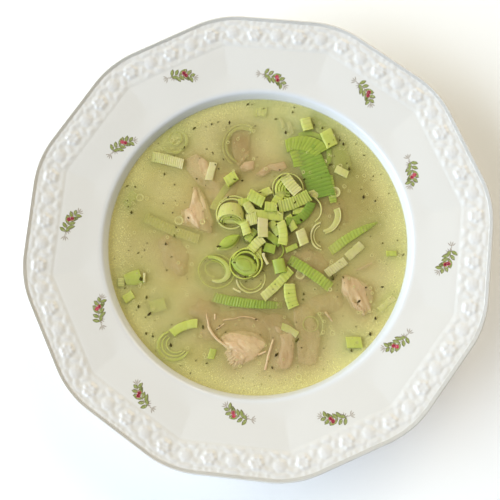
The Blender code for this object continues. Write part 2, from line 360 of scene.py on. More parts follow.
def aim_camera():
    camera = carried("camera", bpy.data.cameras.new("camera"))
    tilt, side = math.radians(CAMERA_TILT), math.radians(CAMERA_SIDE)
    away = Vector((math.sin(tilt) * math.cos(side), math.sin(tilt) * math.sin(side), math.cos(tilt)))
    up = Matrix.Rotation(math.radians(CAMERA_TURN), 3, "Z") @ Vector((0, 1, 0))
    right = up.cross(away).normalized()
    turn = Matrix((right, away.cross(right), away)).transposed()
    camera.matrix_world = Matrix.Translation(CAMERA_AIM + away * CAMERA_DISTANCE) @ turn.to_4x4()
    camera.data.lens = camera.data.sensor_width * CAMERA_DISTANCE / VIEW_WIDTH
    bpy.context.scene.camera = camera
    return camera


camera = aim_camera()
bpy.context.scene.view_settings.view_transform = "Standard"
print("camera", round(camera.data.lens), "mm lens at", round(CAMERA_DISTANCE, 2), "m")

# %% Floor
FLOOR_SIZE = 2.4
FLOOR_COLOUR = (0.98, 0.98, 0.98, 1)
half = FLOOR_SIZE / 2
corners = [(-half, -half, 0), (half, -half, 0), (half, half, 0), (-half, half, 0)]
floor_mesh = plain_mesh("floor", corners, [(0, 1, 2, 3)])
floor_material, _, floor_shader = shader_of("floor")
dress(floor_shader, {"Base Color": FLOOR_COLOUR, "Roughness": 0.6})
floor_mesh.materials.append(floor_material)
carried("floor", floor_mesh)
print("floor", FLOOR_SIZE, "m square")

# %% Light
# Each light is a soft square that faces the middle of the plate: where it is, its size, power and colour.
LIGHTS = {
    "window": ((-1.6, -0.35, 0.95), 2.0, 58, (0.80, 0.91, 1.0)),
    "sky": ((-1.0, -1.1, 1.0), 1.4, 8, (0.6, 0.68, 1.0)),
    "lamp": ((0.75, 1.4, 1.1), 1.4, 22, (1.0, 0.85, 0.60)),
}
LIT_POINT = Vector((0, 0, 0.03))
ROOM_COLOUR, ROOM_STRENGTH = (0.98, 1.0, 0.93, 1), 0.29
for name, (spot, size, power, colour) in LIGHTS.items():
    light = bpy.data.lights.new(name, "AREA")
    light.size, light.energy, light.color = size, power, colour
    lamp = carried(name, light)
    lamp.location = spot
    lamp.rotation_euler = (LIT_POINT - Vector(spot)).to_track_quat("-Z", "Y").to_euler()
world = bpy.data.worlds.new("studio")
world.use_nodes = True
dress(world.node_tree.nodes["Background"], {"Color": ROOM_COLOUR, "Strength": ROOM_STRENGTH})
bpy.context.scene.world = world
print(", ".join(LIGHTS), "and an even room")

# %% [markdown]
# ## The embossed border
#
# The rim carries a wreath of rosettes, daisies, leaves and beads that is pressed into the clay and
# softened by the glaze. It could be sculpted, but it repeats: so a few motifs are modelled once, and a
# tree walks them round the twelve-sided band. The plate below reads their heights from above, the way a
# mould takes them, and blurs them a little, as the glaze does.


# %% Motifs
def ball(bm, at, radii, turn=0.0, steps=12):
    """A stretched ball, with its middle and its radii in mm."""
    place = Matrix.Translation(Vector(at) * MM) @ Matrix.Rotation(math.radians(turn), 4, "Z")
    place @= Matrix.Diagonal((*radii, 1))
    bmesh.ops.create_uvsphere(bm, u_segments=steps, v_segments=steps // 2, radius=MM, matrix=place)


def around(radius, turn, height=0.0):
    return radius * math.cos(math.radians(turn)), radius * math.sin(math.radians(turn)), height


def rosette(bm):
    """A low round medallion: a ring of broad petals round a dimpled heart."""
    ball(bm, (0, 0, 0), (3.9, 3.9, 0.5), 0, 24)
    for petal in range(6):
        turn = 60 * petal
        ball(bm, around(2.3, turn), (1.3, 1.2, 1.0), turn)
    ball(bm, (0, 0, 0), (0.8, 0.8, 0.85))


def daisy(bm):
    """A smaller, domed flower with fine grooves."""
    ball(bm, (0, 0, 0), (3.1, 3.1, 0.55), 0, 20)
    for petal in range(7):
        turn = 360 / 7 * petal
        ball(bm, around(1.9, turn, 0.2), (1.3, 0.6, 0.5), turn, 8)
    ball(bm, (0, 0, 0.3), (0.8, 0.8, 0.6), 0, 10)


def leaf(bm):
    """A pointed leaf, folded along its vein."""
    for side in (-1, 1):
        ball(bm, (0, side * 0.42, 0), (2.4, 0.75, 0.42), 5 * side)


def bead(bm):
    ball(bm, (0, 0, 0), (0.62, 0.62, 0.8), 0, 10)


def motif(build):
    bm = bmesh.new()
    build(bm)
    return carried(build.__name__, baked(build.__name__, bm))


MOTIFS = {build.__name__: motif(build) for build in (rosette, daisy, leaf, bead)}
print("motifs:", ", ".join(MOTIFS))


# %% [markdown]
# ## Twelve sides with soft corners
#
# Every level of the plate follows one rule: a regular polygon given by the distance of its flats, whose
# corners are rounded more or less. 0 is a sharp corner and 1 a full circle. The same rule in the trees
# shapes the border's path and the plate itself.


# %% The outline's rule
def outline_radius(apothem, corner, angle):
    """Distance from the axis to the outline at an angle, as Flows."""
    half_side = math.pi / SIDES
    off = ((angle + half_side).math("FLOORED_MODULO", 2 * half_side) - half_side).math("ABSOLUTE")
    flat = apothem / off.math("COSINE")
    radius = apothem * corner
    middle = (apothem - radius) / math.cos(half_side)
    swing = half_side - off
    chord = middle * swing.math("SINE")
    half_chord = (radius * radius - chord * chord).math("MAXIMUM", 0).math("SQRT")
    rounded = middle * swing.math("COSINE") + half_chord
    is_flat = off.math("TANGENT").math("LESS_THAN", (1 - corner) * math.tan(half_side))
    return flat * is_flat + rounded * (1 - is_flat)


FLOWERS_PER_SIDE = 5
STEPS_PER_FLOWER = 8
PATH_APOTHEM = 0.1060
PATH_POINTS = 720
PATH_CORNER = 0.25
# A unit of the wreath is a rosette and a daisy. Each motif: the steps of the unit that carry it, its turn
# in degrees, and how far out from the path it is in mm.
BORDER = (
    ("rosette", (0,), 0, 0.0), ("daisy", (8,), 0, 0.2), ("leaf", (4, 12), 62, -1.8),
    ("leaf", (3, 11), 150, 2.6), ("leaf", (5, 13), 24, 3.3), ("leaf", (6, 10), -20, -4.6),
    ("leaf", (7, 9), 12, 4.9), ("bead", (4, 12, 15), 0, 5.4), ("bead", (2, 14, 5, 11), 0, -5.6),
    ("bead", (1, 13), 0, 5.7),
)


def border_tree():
    inputs = dict(Apothem=PATH_APOTHEM, Corner=PATH_CORNER, Flowers=SIDES * FLOWERS_PER_SIDE)
    tree, given = new_tree("border", **inputs)
    circle = put(tree, "GeometryNodeCurvePrimitiveCircle", {"Resolution": PATH_POINTS, "Radius": 1.0})
    x, y, _ = here(tree)
    angle = y.math("ARCTAN2", x)
    radius = outline_radius(given["Apothem"], given["Corner"], angle)
    place = round_place(tree, radius, angle)
    at = {"Curve": moved(tree, out(circle), place), "Count": given["Flowers"] * STEPS_PER_FLOWER}
    points = put(tree, "GeometryNodeCurveToPoints", at, mode="COUNT")
    step = out(put(tree, "GeometryNodeInputIndex")).math("FLOORED_MODULO", 2 * STEPS_PER_FLOWER)
    tangent_x, tangent_y, _ = parts_of(out(points, "Tangent"))
    along = tangent_y.math("ARCTAN2", tangent_x)
    wreath = put(tree, "GeometryNodeJoinGeometry")
    for name, steps, turn, outward in BORDER:
        at = {"Geometry": shape_in(tree, MOTIFS[name]), "Translation": (0, -outward * MM, 0)}
        turned = put(tree, "GeometryNodeTransform", {**at, "Rotation": (0, 0, math.radians(turn))})
        chosen = step.math("COMPARE", steps[0], 0.5)
        for other in steps[1:]:
            chosen = chosen + step.math("COMPARE", other, 0.5)
        at = {"Points": out(points, "Points"), "Selection": chosen, "Instance": out(turned)}
        stamped = put(tree, "GeometryNodeInstanceOnPoints", {**at, "Rotation": vector(tree, 0, 0, along)})
        feed(wreath.inputs[0], out(stamped))
    return end_tree(tree, out(wreath))


stamps = carried("stamps", grown("stamps", border_tree()))
print("border:", len(stamps.data.polygons), "faces,", SIDES * FLOWERS_PER_SIDE, "flowers")

# %% [markdown]
# ## Glaze
#
# Porcelain is white clay under clear glass. Off the raised relief the glaze takes a second colour, painted
# shade made for the hollows and now nearly the same as the relief's. In the well it is painted bluish, a
# painted reflection of the cool sky. A very faint waviness keeps its reflections from being perfect.


# %% Porcelain material
def porcelain():
    material, tree, shader = shader_of("porcelain_glaze")
    point = object_point(tree)
    body = blend(tree, grain(tree, point, 0.05), (0.715, 0.69, 0.655), (0.735, 0.71, 0.675))
    # Painted shade off the raised relief, made for the hollows; it is now nearly the relief's own colour.
    hollow_shade = blend(tree, grain(tree, point, 0.02), (0.725, 0.70, 0.655), (0.745, 0.72, 0.675))
    x, y, _ = parts_of(point)
    radius = length_of(x, y)
    # Painted reflection: inside the shoulder the glaze is painted bluish, for the cool sky that the well
    # reflects.
    painted_sky = (1 - radius.smooth(SHOULDER_RADIUS, SHOULDER_RADIUS + 0.003)) * 0.7
    colour = blend(tree, attribute(tree, "relief").smooth(0.0, 0.4), hollow_shade, body)
    colour = blend(tree, painted_sky, colour, (0.72, 0.75, 0.79))
    dress(shader, {"Base Color": colour, "Roughness": grain(tree, point, 0.012) * 0.06 + 0.2})
    dress(shader, {"Coat Weight": 0.12, "Coat Roughness": 0.06})
    bump(tree, shader, grain(tree, point, 0.006, 2.0), 0.00004)
    return material


PORCELAIN = porcelain()
print("glaze ready")


# %% [markdown]
# ## The plate
#
# The plate is one closed skin. Its profile is a list of levels: how far the flats are from the axis, how
# high, and how round the corners. A grid gives one row to each level and one column to each step round
# the axis, and the tree bends the grid to the rule. Where the ring closes and at both poles, the points
# are merged. Rows crowd where the border and the lip's fine ribs need them.


# %% Profile
def arc(middle, radii, start, end, steps):
    """Levels on an elliptical arc. 0 degrees is straight down and 90 outwards."""
    turns = [math.radians(start + (end - start) * step / steps) for step in range(steps + 1)]
    return [(middle[0] + radii[0] * math.sin(t), middle[1] - radii[1] * math.cos(t), 1.0) for t in turns]


def between(first, last, steps):
    """Levels spread evenly after first, up to and with last."""
    shares = [(step + 1) / steps for step in range(steps)]
    return [tuple(a + (b - a) * share for a, b in zip(first, last)) for share in shares]


# The panels' creases: sharp from the band inwards to here, and lost in the round shoulder further in.
CREASE_APOTHEM, CREASE_HEIGHT, CREASE_CORNER = 0.0850, 0.0341, 0.05
PANEL_EDGE_CORNER = 0.01
BAND_ROWS = 27
LIP_ROWS = 9
LIP_RIB = 0.00016
LIP_ROUND, LIP_DROP = 0.0007, 0.0009
BAND_EDGE = 0.0006
FOOT_ROUND = 0.0008


def plate_profile():
    """Levels from the well's floor over the rim to the foot, and the first and last row of the band."""
    inside = (FLOOR_RADIUS, WELL_HEIGHT)
    levels = [(0, FLOOR_HEIGHT, 1.0)]
    levels += arc(inside, (WELL_RADIUS - FLOOR_RADIUS, WELL_HEIGHT - FLOOR_HEIGHT), 0, 90, 8)
    levels += between(levels[-1], (SHOULDER_RADIUS - 0.0002, SHOULDER_HEIGHT - 0.0006, 1.0), 2)
    levels += [(SHOULDER_RADIUS + 0.0002, SHOULDER_HEIGHT, 0.98)]
    levels += [(SHOULDER_RADIUS + 0.0009, SHOULDER_HEIGHT + 0.0005, 0.9)]
    levels += between(levels[-1], (CREASE_APOTHEM, CREASE_HEIGHT, CREASE_CORNER), 5)
    levels += between(levels[-1], (BAND_APOTHEM - BAND_EDGE, BAND_HEIGHT, PANEL_EDGE_CORNER), 6)
    levels += [(BAND_APOTHEM, BAND_HEIGHT + BAND_STEP * 0.15, BAND_CORNER)]
    levels += [(BAND_APOTHEM + BAND_EDGE, BAND_HEIGHT + BAND_STEP * 0.85, BAND_CORNER)]
    first_band_row = len(levels)
    band_top = (RIM_APOTHEM - LIP_WIDTH - BAND_EDGE, RIM_HEIGHT - 0.0008, RIM_CORNER)
    levels += between((BAND_APOTHEM + 0.0007, BAND_HEIGHT + BAND_STEP, BAND_CORNER), band_top, BAND_ROWS)
    last_band_row = len(levels) - 1
    lip = between(band_top, (RIM_APOTHEM - LIP_ROUND, RIM_HEIGHT - LIP_RIB, RIM_CORNER), LIP_ROWS)
    for row, (apothem, height, corner) in enumerate(lip):
        levels.append((apothem, height + LIP_RIB * math.cos(math.pi * row), corner))
    lip_middle = (RIM_APOTHEM - LIP_ROUND, RIM_HEIGHT - LIP_DROP)
    rounding = arc(lip_middle, (LIP_ROUND, LIP_ROUND), 170, 90, 4)
    levels += [(radius, height, RIM_CORNER) for radius, height, _ in rounding]
    levels += [(RIM_APOTHEM - 0.0002, RIM_HEIGHT - THICKNESS + 0.0006, RIM_CORNER)]
    levels += [(RIM_APOTHEM - 0.0012, RIM_HEIGHT - THICKNESS - 0.0001, RIM_CORNER)]
    levels += between(levels[-1], (BAND_APOTHEM, BAND_HEIGHT - THICKNESS, BAND_CORNER), 3)
    outside = (WELL_RADIUS - FLOOR_RADIUS + THICKNESS, WELL_HEIGHT - FLOOR_HEIGHT + THICKNESS)
    levels += between(levels[-1], (inside[0] + outside[0] + 0.0006, WELL_HEIGHT + 0.0006, 0.8), 4)
    foot_start = math.degrees(math.asin((FOOT_OUTER + FOOT_TAPER - FLOOR_RADIUS) / outside[0]))
    levels += arc(inside, outside, 88, foot_start, 8)
    foot = ((FOOT_OUTER + 0.0002, 0.0012), (FOOT_OUTER - 0.0002, 0.0003), (FOOT_OUTER - FOOT_ROUND, 0.0))
    foot += ((FOOT_INNER + FOOT_ROUND, 0.0), (FOOT_INNER, 0.0006))
    foot += ((FOOT_INNER - FOOT_TAPER, RECESS_HEIGHT),)
    levels += [(radius, height, 1.0) for radius, height in (*foot, (0, RECESS_HEIGHT))]
    return levels, first_band_row, last_band_row


levels, first_band_row, last_band_row = plate_profile()
profile_mesh = plain_mesh("profile", [(apothem, corner, height) for apothem, height, corner in levels])
print(len(levels), "levels, the border on rows", first_band_row, "to", last_band_row)

# %% The plate's tree
PLATE_COLUMNS = 1200
MOULD_HEIGHT = 0.02
WELD = 1e-6
RIM_MARGIN = 0.0001


def bent_grid(tree, given, outline):
    """A grid bent round the axis, one row to each level of the starting mesh, with its rows numbered."""
    grid, turn, row = unit_grid(tree, given["Columns"], given["Rows"])
    spots = out(put(tree, "GeometryNodeInputPosition"))
    at = {"Geometry": given["Geometry"], "Value": spots, "Index": row}
    level = put(tree, "GeometryNodeSampleIndex", at, data_type="FLOAT_VECTOR", domain="POINT")
    apothem, corner, height = parts_of(out(level))
    radius = outline(apothem, corner, turn)
    bent = moved(tree, store(tree, grid, "row", row), round_place(tree, radius, turn, height))
    return out(put(tree, "GeometryNodeMergeByDistance", {"Geometry": bent, "Distance": WELD}))


def live(sockets, name):
    """The one socket of this name that the node's settings leave in use."""
    return [socket for socket in sockets if socket.enabled and socket.name == name][0]


def plate_tree():
    inputs = dict(Columns=PLATE_COLUMNS, Rows=len(levels), Stamps=None, First=0, Last=0, Glaze=2)
    tree, given = new_tree("plate", **inputs)
    closed = bent_grid(tree, given, outline_radius)
    x, y, z = here(tree)
    is_hit, hit_height = dropped(tree, x, y, MOULD_HEIGHT, given["Stamps"])
    row = recall(tree, "row")
    in_band = row.math("GREATER_THAN", given["First"]) * row.math("LESS_THAN", given["Last"])
    softened = put(tree, "GeometryNodeBlurAttribute", {"Iterations": given["Glaze"]}, data_type="FLOAT")
    feed(live(softened.inputs, "Value"), is_hit * hit_height * in_band)
    rise = Flow(live(softened.outputs, "Value"))
    kept = store(tree, closed, "relief", rise / RELIEF_HEIGHT)
    lifted = (z + recall(tree, "relief") * RELIEF_HEIGHT).math("MINIMUM", RIM_HEIGHT - RIM_MARGIN)
    return end_tree(tree, moved(tree, kept, vector(tree, x, y, lifted)), PORCELAIN)


settings = dict(Stamps=stamps, First=first_band_row, Last=last_band_row)
plate_mesh = grown("porcelain_plate", plate_tree(), profile_mesh, **settings)
plate = piece("porcelain_plate", facing_out(plate_mesh), ("soup_plate",), sharp=60)

# %% [markdown]
# ## The broth's own colour
#
# Cloudy broth is not one colour. It is milky grey-yellow where it is clear of food, olive to the right of
# the heap, brownish over chicken, and clear yellow where fat gathers at the wall. Noise alone would put
# these anywhere, so each patch has its place, and noise only makes its outline uneven. All colours are
# given as they look on a screen, from 0 to 255, and are changed to the linear values that Blender works
# with.


# %% Colours
def paint(red, green, blue):
    return tuple(((v / 255 + 0.055) / 1.055) ** 2.4 if v > 10 else v / 3295 for v in (red, green, blue))


BROTH = paint(212, 196, 124)
MILKY = paint(226, 216, 160)
COOL = paint(212, 216, 166)
OLIVE = paint(172, 158, 84)
BROWN = paint(196, 166, 110)
DARK = paint(166, 138, 88)
GREENISH = paint(164, 174, 88)
EDGE = paint(238, 231, 158)
# Each patch: x and y of its middle and how far it reaches in mm, its share, and its colour.
PATCHES = (
    (-8, 64, 30, 0.75, MILKY), (64, -8, 18, 0.5, MILKY), (-58, 2, 24, 0.25, OLIVE),
    (48, -50, 28, 0.85, MILKY), (4, -68, 28, 0.8, MILKY), (-34, 50, 22, 0.5, MILKY),
    (16, 68, 28, 0.6, COOL), (42, 34, 26, 0.9, OLIVE), (58, 14, 22, 0.5, OLIVE), (0, 8, 34, 0.5, OLIVE),
    (8, -34, 26, 0.8, BROWN), (8, -38, 16, 0.7, DARK), (24, -46, 18, 0.5, DARK),
    (-24, -36, 20, 0.5, BROWN), (30, -8, 20, 0.6, BROWN), (-10, 38, 22, 0.6, BROWN),
    (28, 50, 24, 0.6, GREENISH), (-14, 50, 14, 0.9, DARK),
)
# How uneven the patches' outlines are, and where the yellow edge starts and is full, in metres.
PATCH_WOBBLE = 0.024
EDGE_BAND, EDGE_SHARE = (0.062, 0.0745), 0.75


def local_broth(tree):
    """The broth's own colour from place to place."""
    point = object_point(tree)
    x, y, _ = parts_of(point)
    radius = length_of(x, y)
    wobble = (grain(tree, point, 0.018, 2.0) - 0.5) * PATCH_WOBBLE
    cloud = grain(tree, point, 0.030, 2.0).smooth(0.4, 0.65)
    colour = blend(tree, cloud * 0.35, BROTH, MILKY)
    for spot_x, spot_y, reach, share, patch in PATCHES:
        across, up = x - spot_x * MM, y - spot_y * MM
        away = length_of(across, up) + wobble
        colour = blend(tree, (1 - away.smooth(0, reach * MM)) * share, colour, patch)
    return blend(tree, (radius + wobble * 0.3).smooth(*EDGE_BAND) * EDGE_SHARE, colour, EDGE)


# %% [markdown]
# ## What has sunk looks like broth
#
# Food fades into the broth's colour with depth. Every food material works out how deep its surface lies
# from the Object coordinates, and mixes in the broth's colour at that place.


# %% Sunk
FADE_DEPTH = 0.0034
DRY_HEIGHT = 0.0003
FADE_SHARE = 0.92


def sunk(tree, colour, depth=FADE_DEPTH, tint=None, share=0.0):
    """The colour as it is above the surface, and fading into the broth, or a tint of it, below."""
    height = parts_of(object_point(tree))[2]
    into = local_broth(tree)
    if tint:
        into = blend(tree, share, into, tint)
    return blend(tree, (1 - height.smooth(LEVEL - depth, LEVEL + DRY_HEIGHT)) * FADE_SHARE, colour, into)


# %% [markdown]
# ## Cut leek
#
# Sliced leek comes in two forms: rings and their arcs, which are slices across the whole stem, and ribbed
# strips and squares, which are slices of an opened leaf. Both are one rule: a flat bar of rounded section
# that follows an arc. A bar that bends through a full turn is a ring. Its veins are ribs across the bar.
# A tree makes the bar from a grid, one row for each step along it, with its first and last row drawn
# together as the cut ends. The rows also carry the tone of green, the vein, and the top side of the bar
# for the material's painted highlight.


# %% Leek's tree
LEEK_SIZES = dict(Rows=96, Around=16, Length=0.01, Width=0.005, Thickness=0.0015, Bow=0.01, Arch=0.0)
LEEK_VEINS = dict(Ribs=0.0, Sharp=1.0, Clear=1.0, Rib_height=0.0, Tone_start=0.3, Tone_end=0.8)
LEEK_ENDS = dict(Taper_start=0.0, Taper_end=0.0, Caps=1, Boxy=0.45, Skew=0.0, Uneven=0.0, Seed=0.0)


def leek_tree():
    tree, given = new_tree("leek_cut", **LEEK_SIZES, **LEEK_VEINS, **LEEK_ENDS)
    geometry, turn, row = unit_grid(tree, given["Around"], given["Rows"])
    along = ((row - 1) / (given["Rows"] - 3)).clamped()
    is_end = row.math("LESS_THAN", 0.5) + row.math("GREATER_THAN", given["Rows"] - 1.5)
    scale = 1 - is_end * given["Caps"]

    def squared(wave):
        return wave.math("SIGN") * wave.math("ABSOLUTE").math("POWER", given["Boxy"])

    side = squared(turn.math("COSINE")) * scale
    upward = squared(turn.math("SINE")) * scale
    between_veins = 0.5 - (along * given["Ribs"] * (2 * math.pi)).math("COSINE") * 0.5
    vein = 1 - between_veins.math("POWER", given["Sharp"]) * given["Clear"]
    start_taper = given["Taper_start"] * (1 - along).math("POWER", 3)
    ends = 1 - start_taper - given["Taper_end"] * along.math("POWER", 3)
    half_width = given["Width"] * 0.5 * ends * (1 - (1 - vein) * 0.04)
    half_thick = given["Thickness"] * 0.5 - given["Rib_height"] * (1 - vein)
    swing = given["Bow"] * (along - 0.5)
    bend_radius = given["Length"] / given["Bow"]
    x = bend_radius * swing.math("SINE") - swing.math("SINE") * side * half_width
    x = x + side * half_width * given["Skew"]
    y = bend_radius * (1 - swing.math("COSINE")) + swing.math("COSINE") * side * half_width
    middle = along * 2 - 1
    place = vector(tree, x, y, upward * half_thick + given["Arch"] * (1 - middle * middle))
    lumps = {"Vector": place, "Scale": 260.0, "W": given["Seed"]}
    cloud = out(put(tree, "ShaderNodeTexNoise", lumps, noise_dimensions="4D"), "Color")
    centred = put(tree, "ShaderNodeVectorMath", {0: cloud, 1: (0.5, 0.5, 0.5)}, operation="SUBTRACT")
    drift = {0: out(centred), "Scale": given["Uneven"]}
    drift = put(tree, "ShaderNodeVectorMath", drift, operation="SCALE")
    uneven = put(tree, "ShaderNodeVectorMath", {0: place, 1: out(drift)}, operation="ADD")
    # A field is read where it is used, so these are stored while the grid is still flat.
    tone = given["Tone_start"] + (given["Tone_end"] - given["Tone_start"]) * along
    for name, value in (("tone", tone), ("vein", vein), ("upper", upward.math("MAXIMUM", 0))):
        geometry = store(tree, geometry, name, value)
    bent = moved(tree, geometry, out(uneven))
    welded = put(tree, "GeometryNodeMergeByDistance", {"Geometry": bent, "Distance": 1e-7})
    return end_tree(tree, out(welded))


LEEK_TREE = leek_tree()
# The surface's height in mm. Every cut and lobe gives its own height from here.
WATER = LEVEL / MM


def placed(mesh, spot, heading=0.0, pitch=0.0, roll=0.0, stretch=1.0):
    """Rolls a mesh about its length, pitches its far end up, turns it and moves it to its spot."""
    x, y, lift = spot
    turn = Matrix.Rotation(math.radians(heading), 4, "Z") @ Matrix.Rotation(-math.radians(pitch), 4, "Y")
    turn = turn @ Matrix.Rotation(math.radians(roll), 4, "X") @ Matrix.Diagonal((1, stretch, 1, 1))
    mesh.transform(Matrix.Translation(Vector((x, y, WATER + lift)) * MM) @ turn)
    return facing_out(mesh)


def measures(more, **sizes):
    """A tree's inputs: the sizes, and over them whatever more is said about one cut."""
    return {**sizes, **{key.capitalize(): float(value) for key, value in more.items()}}


cuts_made = []
VEIN_SPACING = 1.4
VEIN_HEIGHT = 0.16
ROW_STEP, FEWEST_ROWS = 0.18, 14
STRIP_UNEVEN, RING_UNEVEN = 0.8, 0.5
MOST_SKEW = 0.13
# A straight bar has a very slight bow, because the tree divides by it.
STRAIGHT = 0.5


def strip(spot, length, width, thickness, heading, bow=0, ribs=0, tones=(0.4, 0.6), **more):
    """A strip or square of leaf. Sizes in mm, angles in degrees, the spot's height from the surface."""
    cuts_made.append("strip")
    tilt = {key: more.pop(key) for key in ("pitch", "roll") if key in more}
    # Veins lie close on a ribbon. Where they are further apart, they are narrower and fainter.
    spacing = max(1.0, length / ribs / VEIN_SPACING) if ribs else 1.0
    rib_height = more.pop("rib_height", VEIN_HEIGHT) if ribs else 0.0
    sizes = measures(
        more, Rows=max(FEWEST_ROWS, int(length / ROW_STEP)) if ribs else FEWEST_ROWS,
        Length=length * MM, Width=width * MM, Thickness=thickness * MM,
        Bow=math.radians(bow or STRAIGHT), Ribs=float(ribs), Rib_height=rib_height * MM,
        Sharp=spacing**2, Clear=1 / spacing, Tone_start=float(tones[0]), Tone_end=float(tones[1]),
        Uneven=STRIP_UNEVEN * MM, Skew=MOST_SKEW * math.sin(7.0 * len(cuts_made)),
        Seed=float(len(cuts_made)),
    )
    return placed(grown("strip", LEEK_TREE, **sizes), spot, heading, **tilt)


def ring(spot, radius, wall, height, heading=0, start=0, end=360, tones=(0.3, 0.5), stretch=1.0, **more):
    """A ring of leek, or an arc of it from start to end degrees. Measured as a strip is."""
    cuts_made.append("ring")
    whole = end - start >= 360
    sweep = math.radians(end - start)
    tilt = {key: more.pop(key) for key in ("pitch", "roll") if key in more}
    ribs = more.pop("ribs", 0)
    sizes = measures(
        more, Rows=max(20, int((end - start) / 6), int(ribs * 6)), Around=10,
        Length=radius * MM * sweep, Width=wall * MM, Thickness=height * MM, Bow=sweep,
        Ribs=float(ribs), Rib_height=0.05 * MM if ribs else 0.0,
        Tone_start=float(tones[0]), Tone_end=float(tones[0] if whole else tones[1]),
        Caps=0 if whole else 1, Boxy=0.6, Uneven=RING_UNEVEN * MM, Seed=float(len(cuts_made)),
    )
    mesh = grown("ring", LEEK_TREE, **sizes)
    centred = Matrix.Rotation((math.radians(start) + math.radians(end)) / 2 + math.pi / 2, 4, "Z")
    mesh.transform(centred @ Matrix.Translation((0, -radius * MM, 0)))
    return placed(mesh, spot, heading, stretch=stretch, **tilt)


def joined(name, meshes):
    """One mesh out of several, with their attributes kept."""
    parts = [carried("part", mesh) for mesh in meshes]
    bpy.ops.object.select_all(action="DESELECT")
    for part in parts:
        part.select_set(True)
    bpy.context.view_layer.objects.active = parts[0]
    if len(parts) > 1:
        bpy.ops.object.join()
    mesh = bpy.context.view_layer.objects.active.data
    bpy.data.objects.remove(bpy.context.view_layer.objects.active, do_unlink=True)
    mesh.name = name
    return mesh


# %% [markdown]
# ## Leek's material
#
# Leek runs from white at the root to deep green at the leaf. It is crisp, wet and a little see-through,
# so light spreads under its skin. A few stops make the range of greens, the veins show as lighter ribs
# with darker grooves, and the top side of each cut is painted a little paler, a painted highlight.


# %% Leek material
PALE = paint(206, 195, 140)
LIGHT = paint(190, 193, 92)
GREEN = paint(153, 168, 60)
DEEP = paint(116, 146, 46)
SOAKED = paint(112, 112, 52)


def leek_material():
    material, tree, shader = shader_of("leek")
    tone, vein, upper = (attribute(tree, key) for key in ("tone", "vein", "upper"))
    point = object_point(tree)
    tone = tone + (grain(tree, point, 0.004) - 0.5) * 0.3
    colour = blend(tree, tone * 3, PALE, LIGHT)
    colour = blend(tree, tone * 3 - 1, colour, GREEN)
    colour = blend(tree, tone * 3 - 2, colour, DEEP)
    colour = blend(tree, tone * 3 - 3.5, colour, SOAKED)
    groove = blend(tree, tone * 3, paint(178, 174, 108), paint(112, 134, 48))
    colour = blend(tree, (1 - vein).math("POWER", 2) * 0.5, colour, groove)
    # Painted highlight: the top side of every cut is painted a little paler.
    colour = blend(tree, upper.smooth(0.7, 1.0) * 0.04, colour, PALE)
    dress(shader, {"Base Color": sunk(tree, colour), "Roughness": grain(tree, point, 0.002) * 0.2 + 0.3})
    dress(shader, {"Specular IOR Level": 0.35, "Subsurface Weight": 0.45})
    dress(shader, {"Subsurface Radius": (0.8, 1.0, 0.3), "Subsurface Scale": 0.0018})
    bump(tree, shader, grain(tree, point, 0.0008, 2.0), 0.00005)
    return material


LEEK = leek_material()
print("leek tools ready, the broth's surface at", WATER, "mm")

# %% [markdown]
# ## Strips, squares and rings at the surface
#
# Each floating cut lies where the solid model has it and stands for its solid. Its length, width and bow
# are nearly the same. New here are the veins, the tone from one end to the other, and how it lies in the
# liquid.

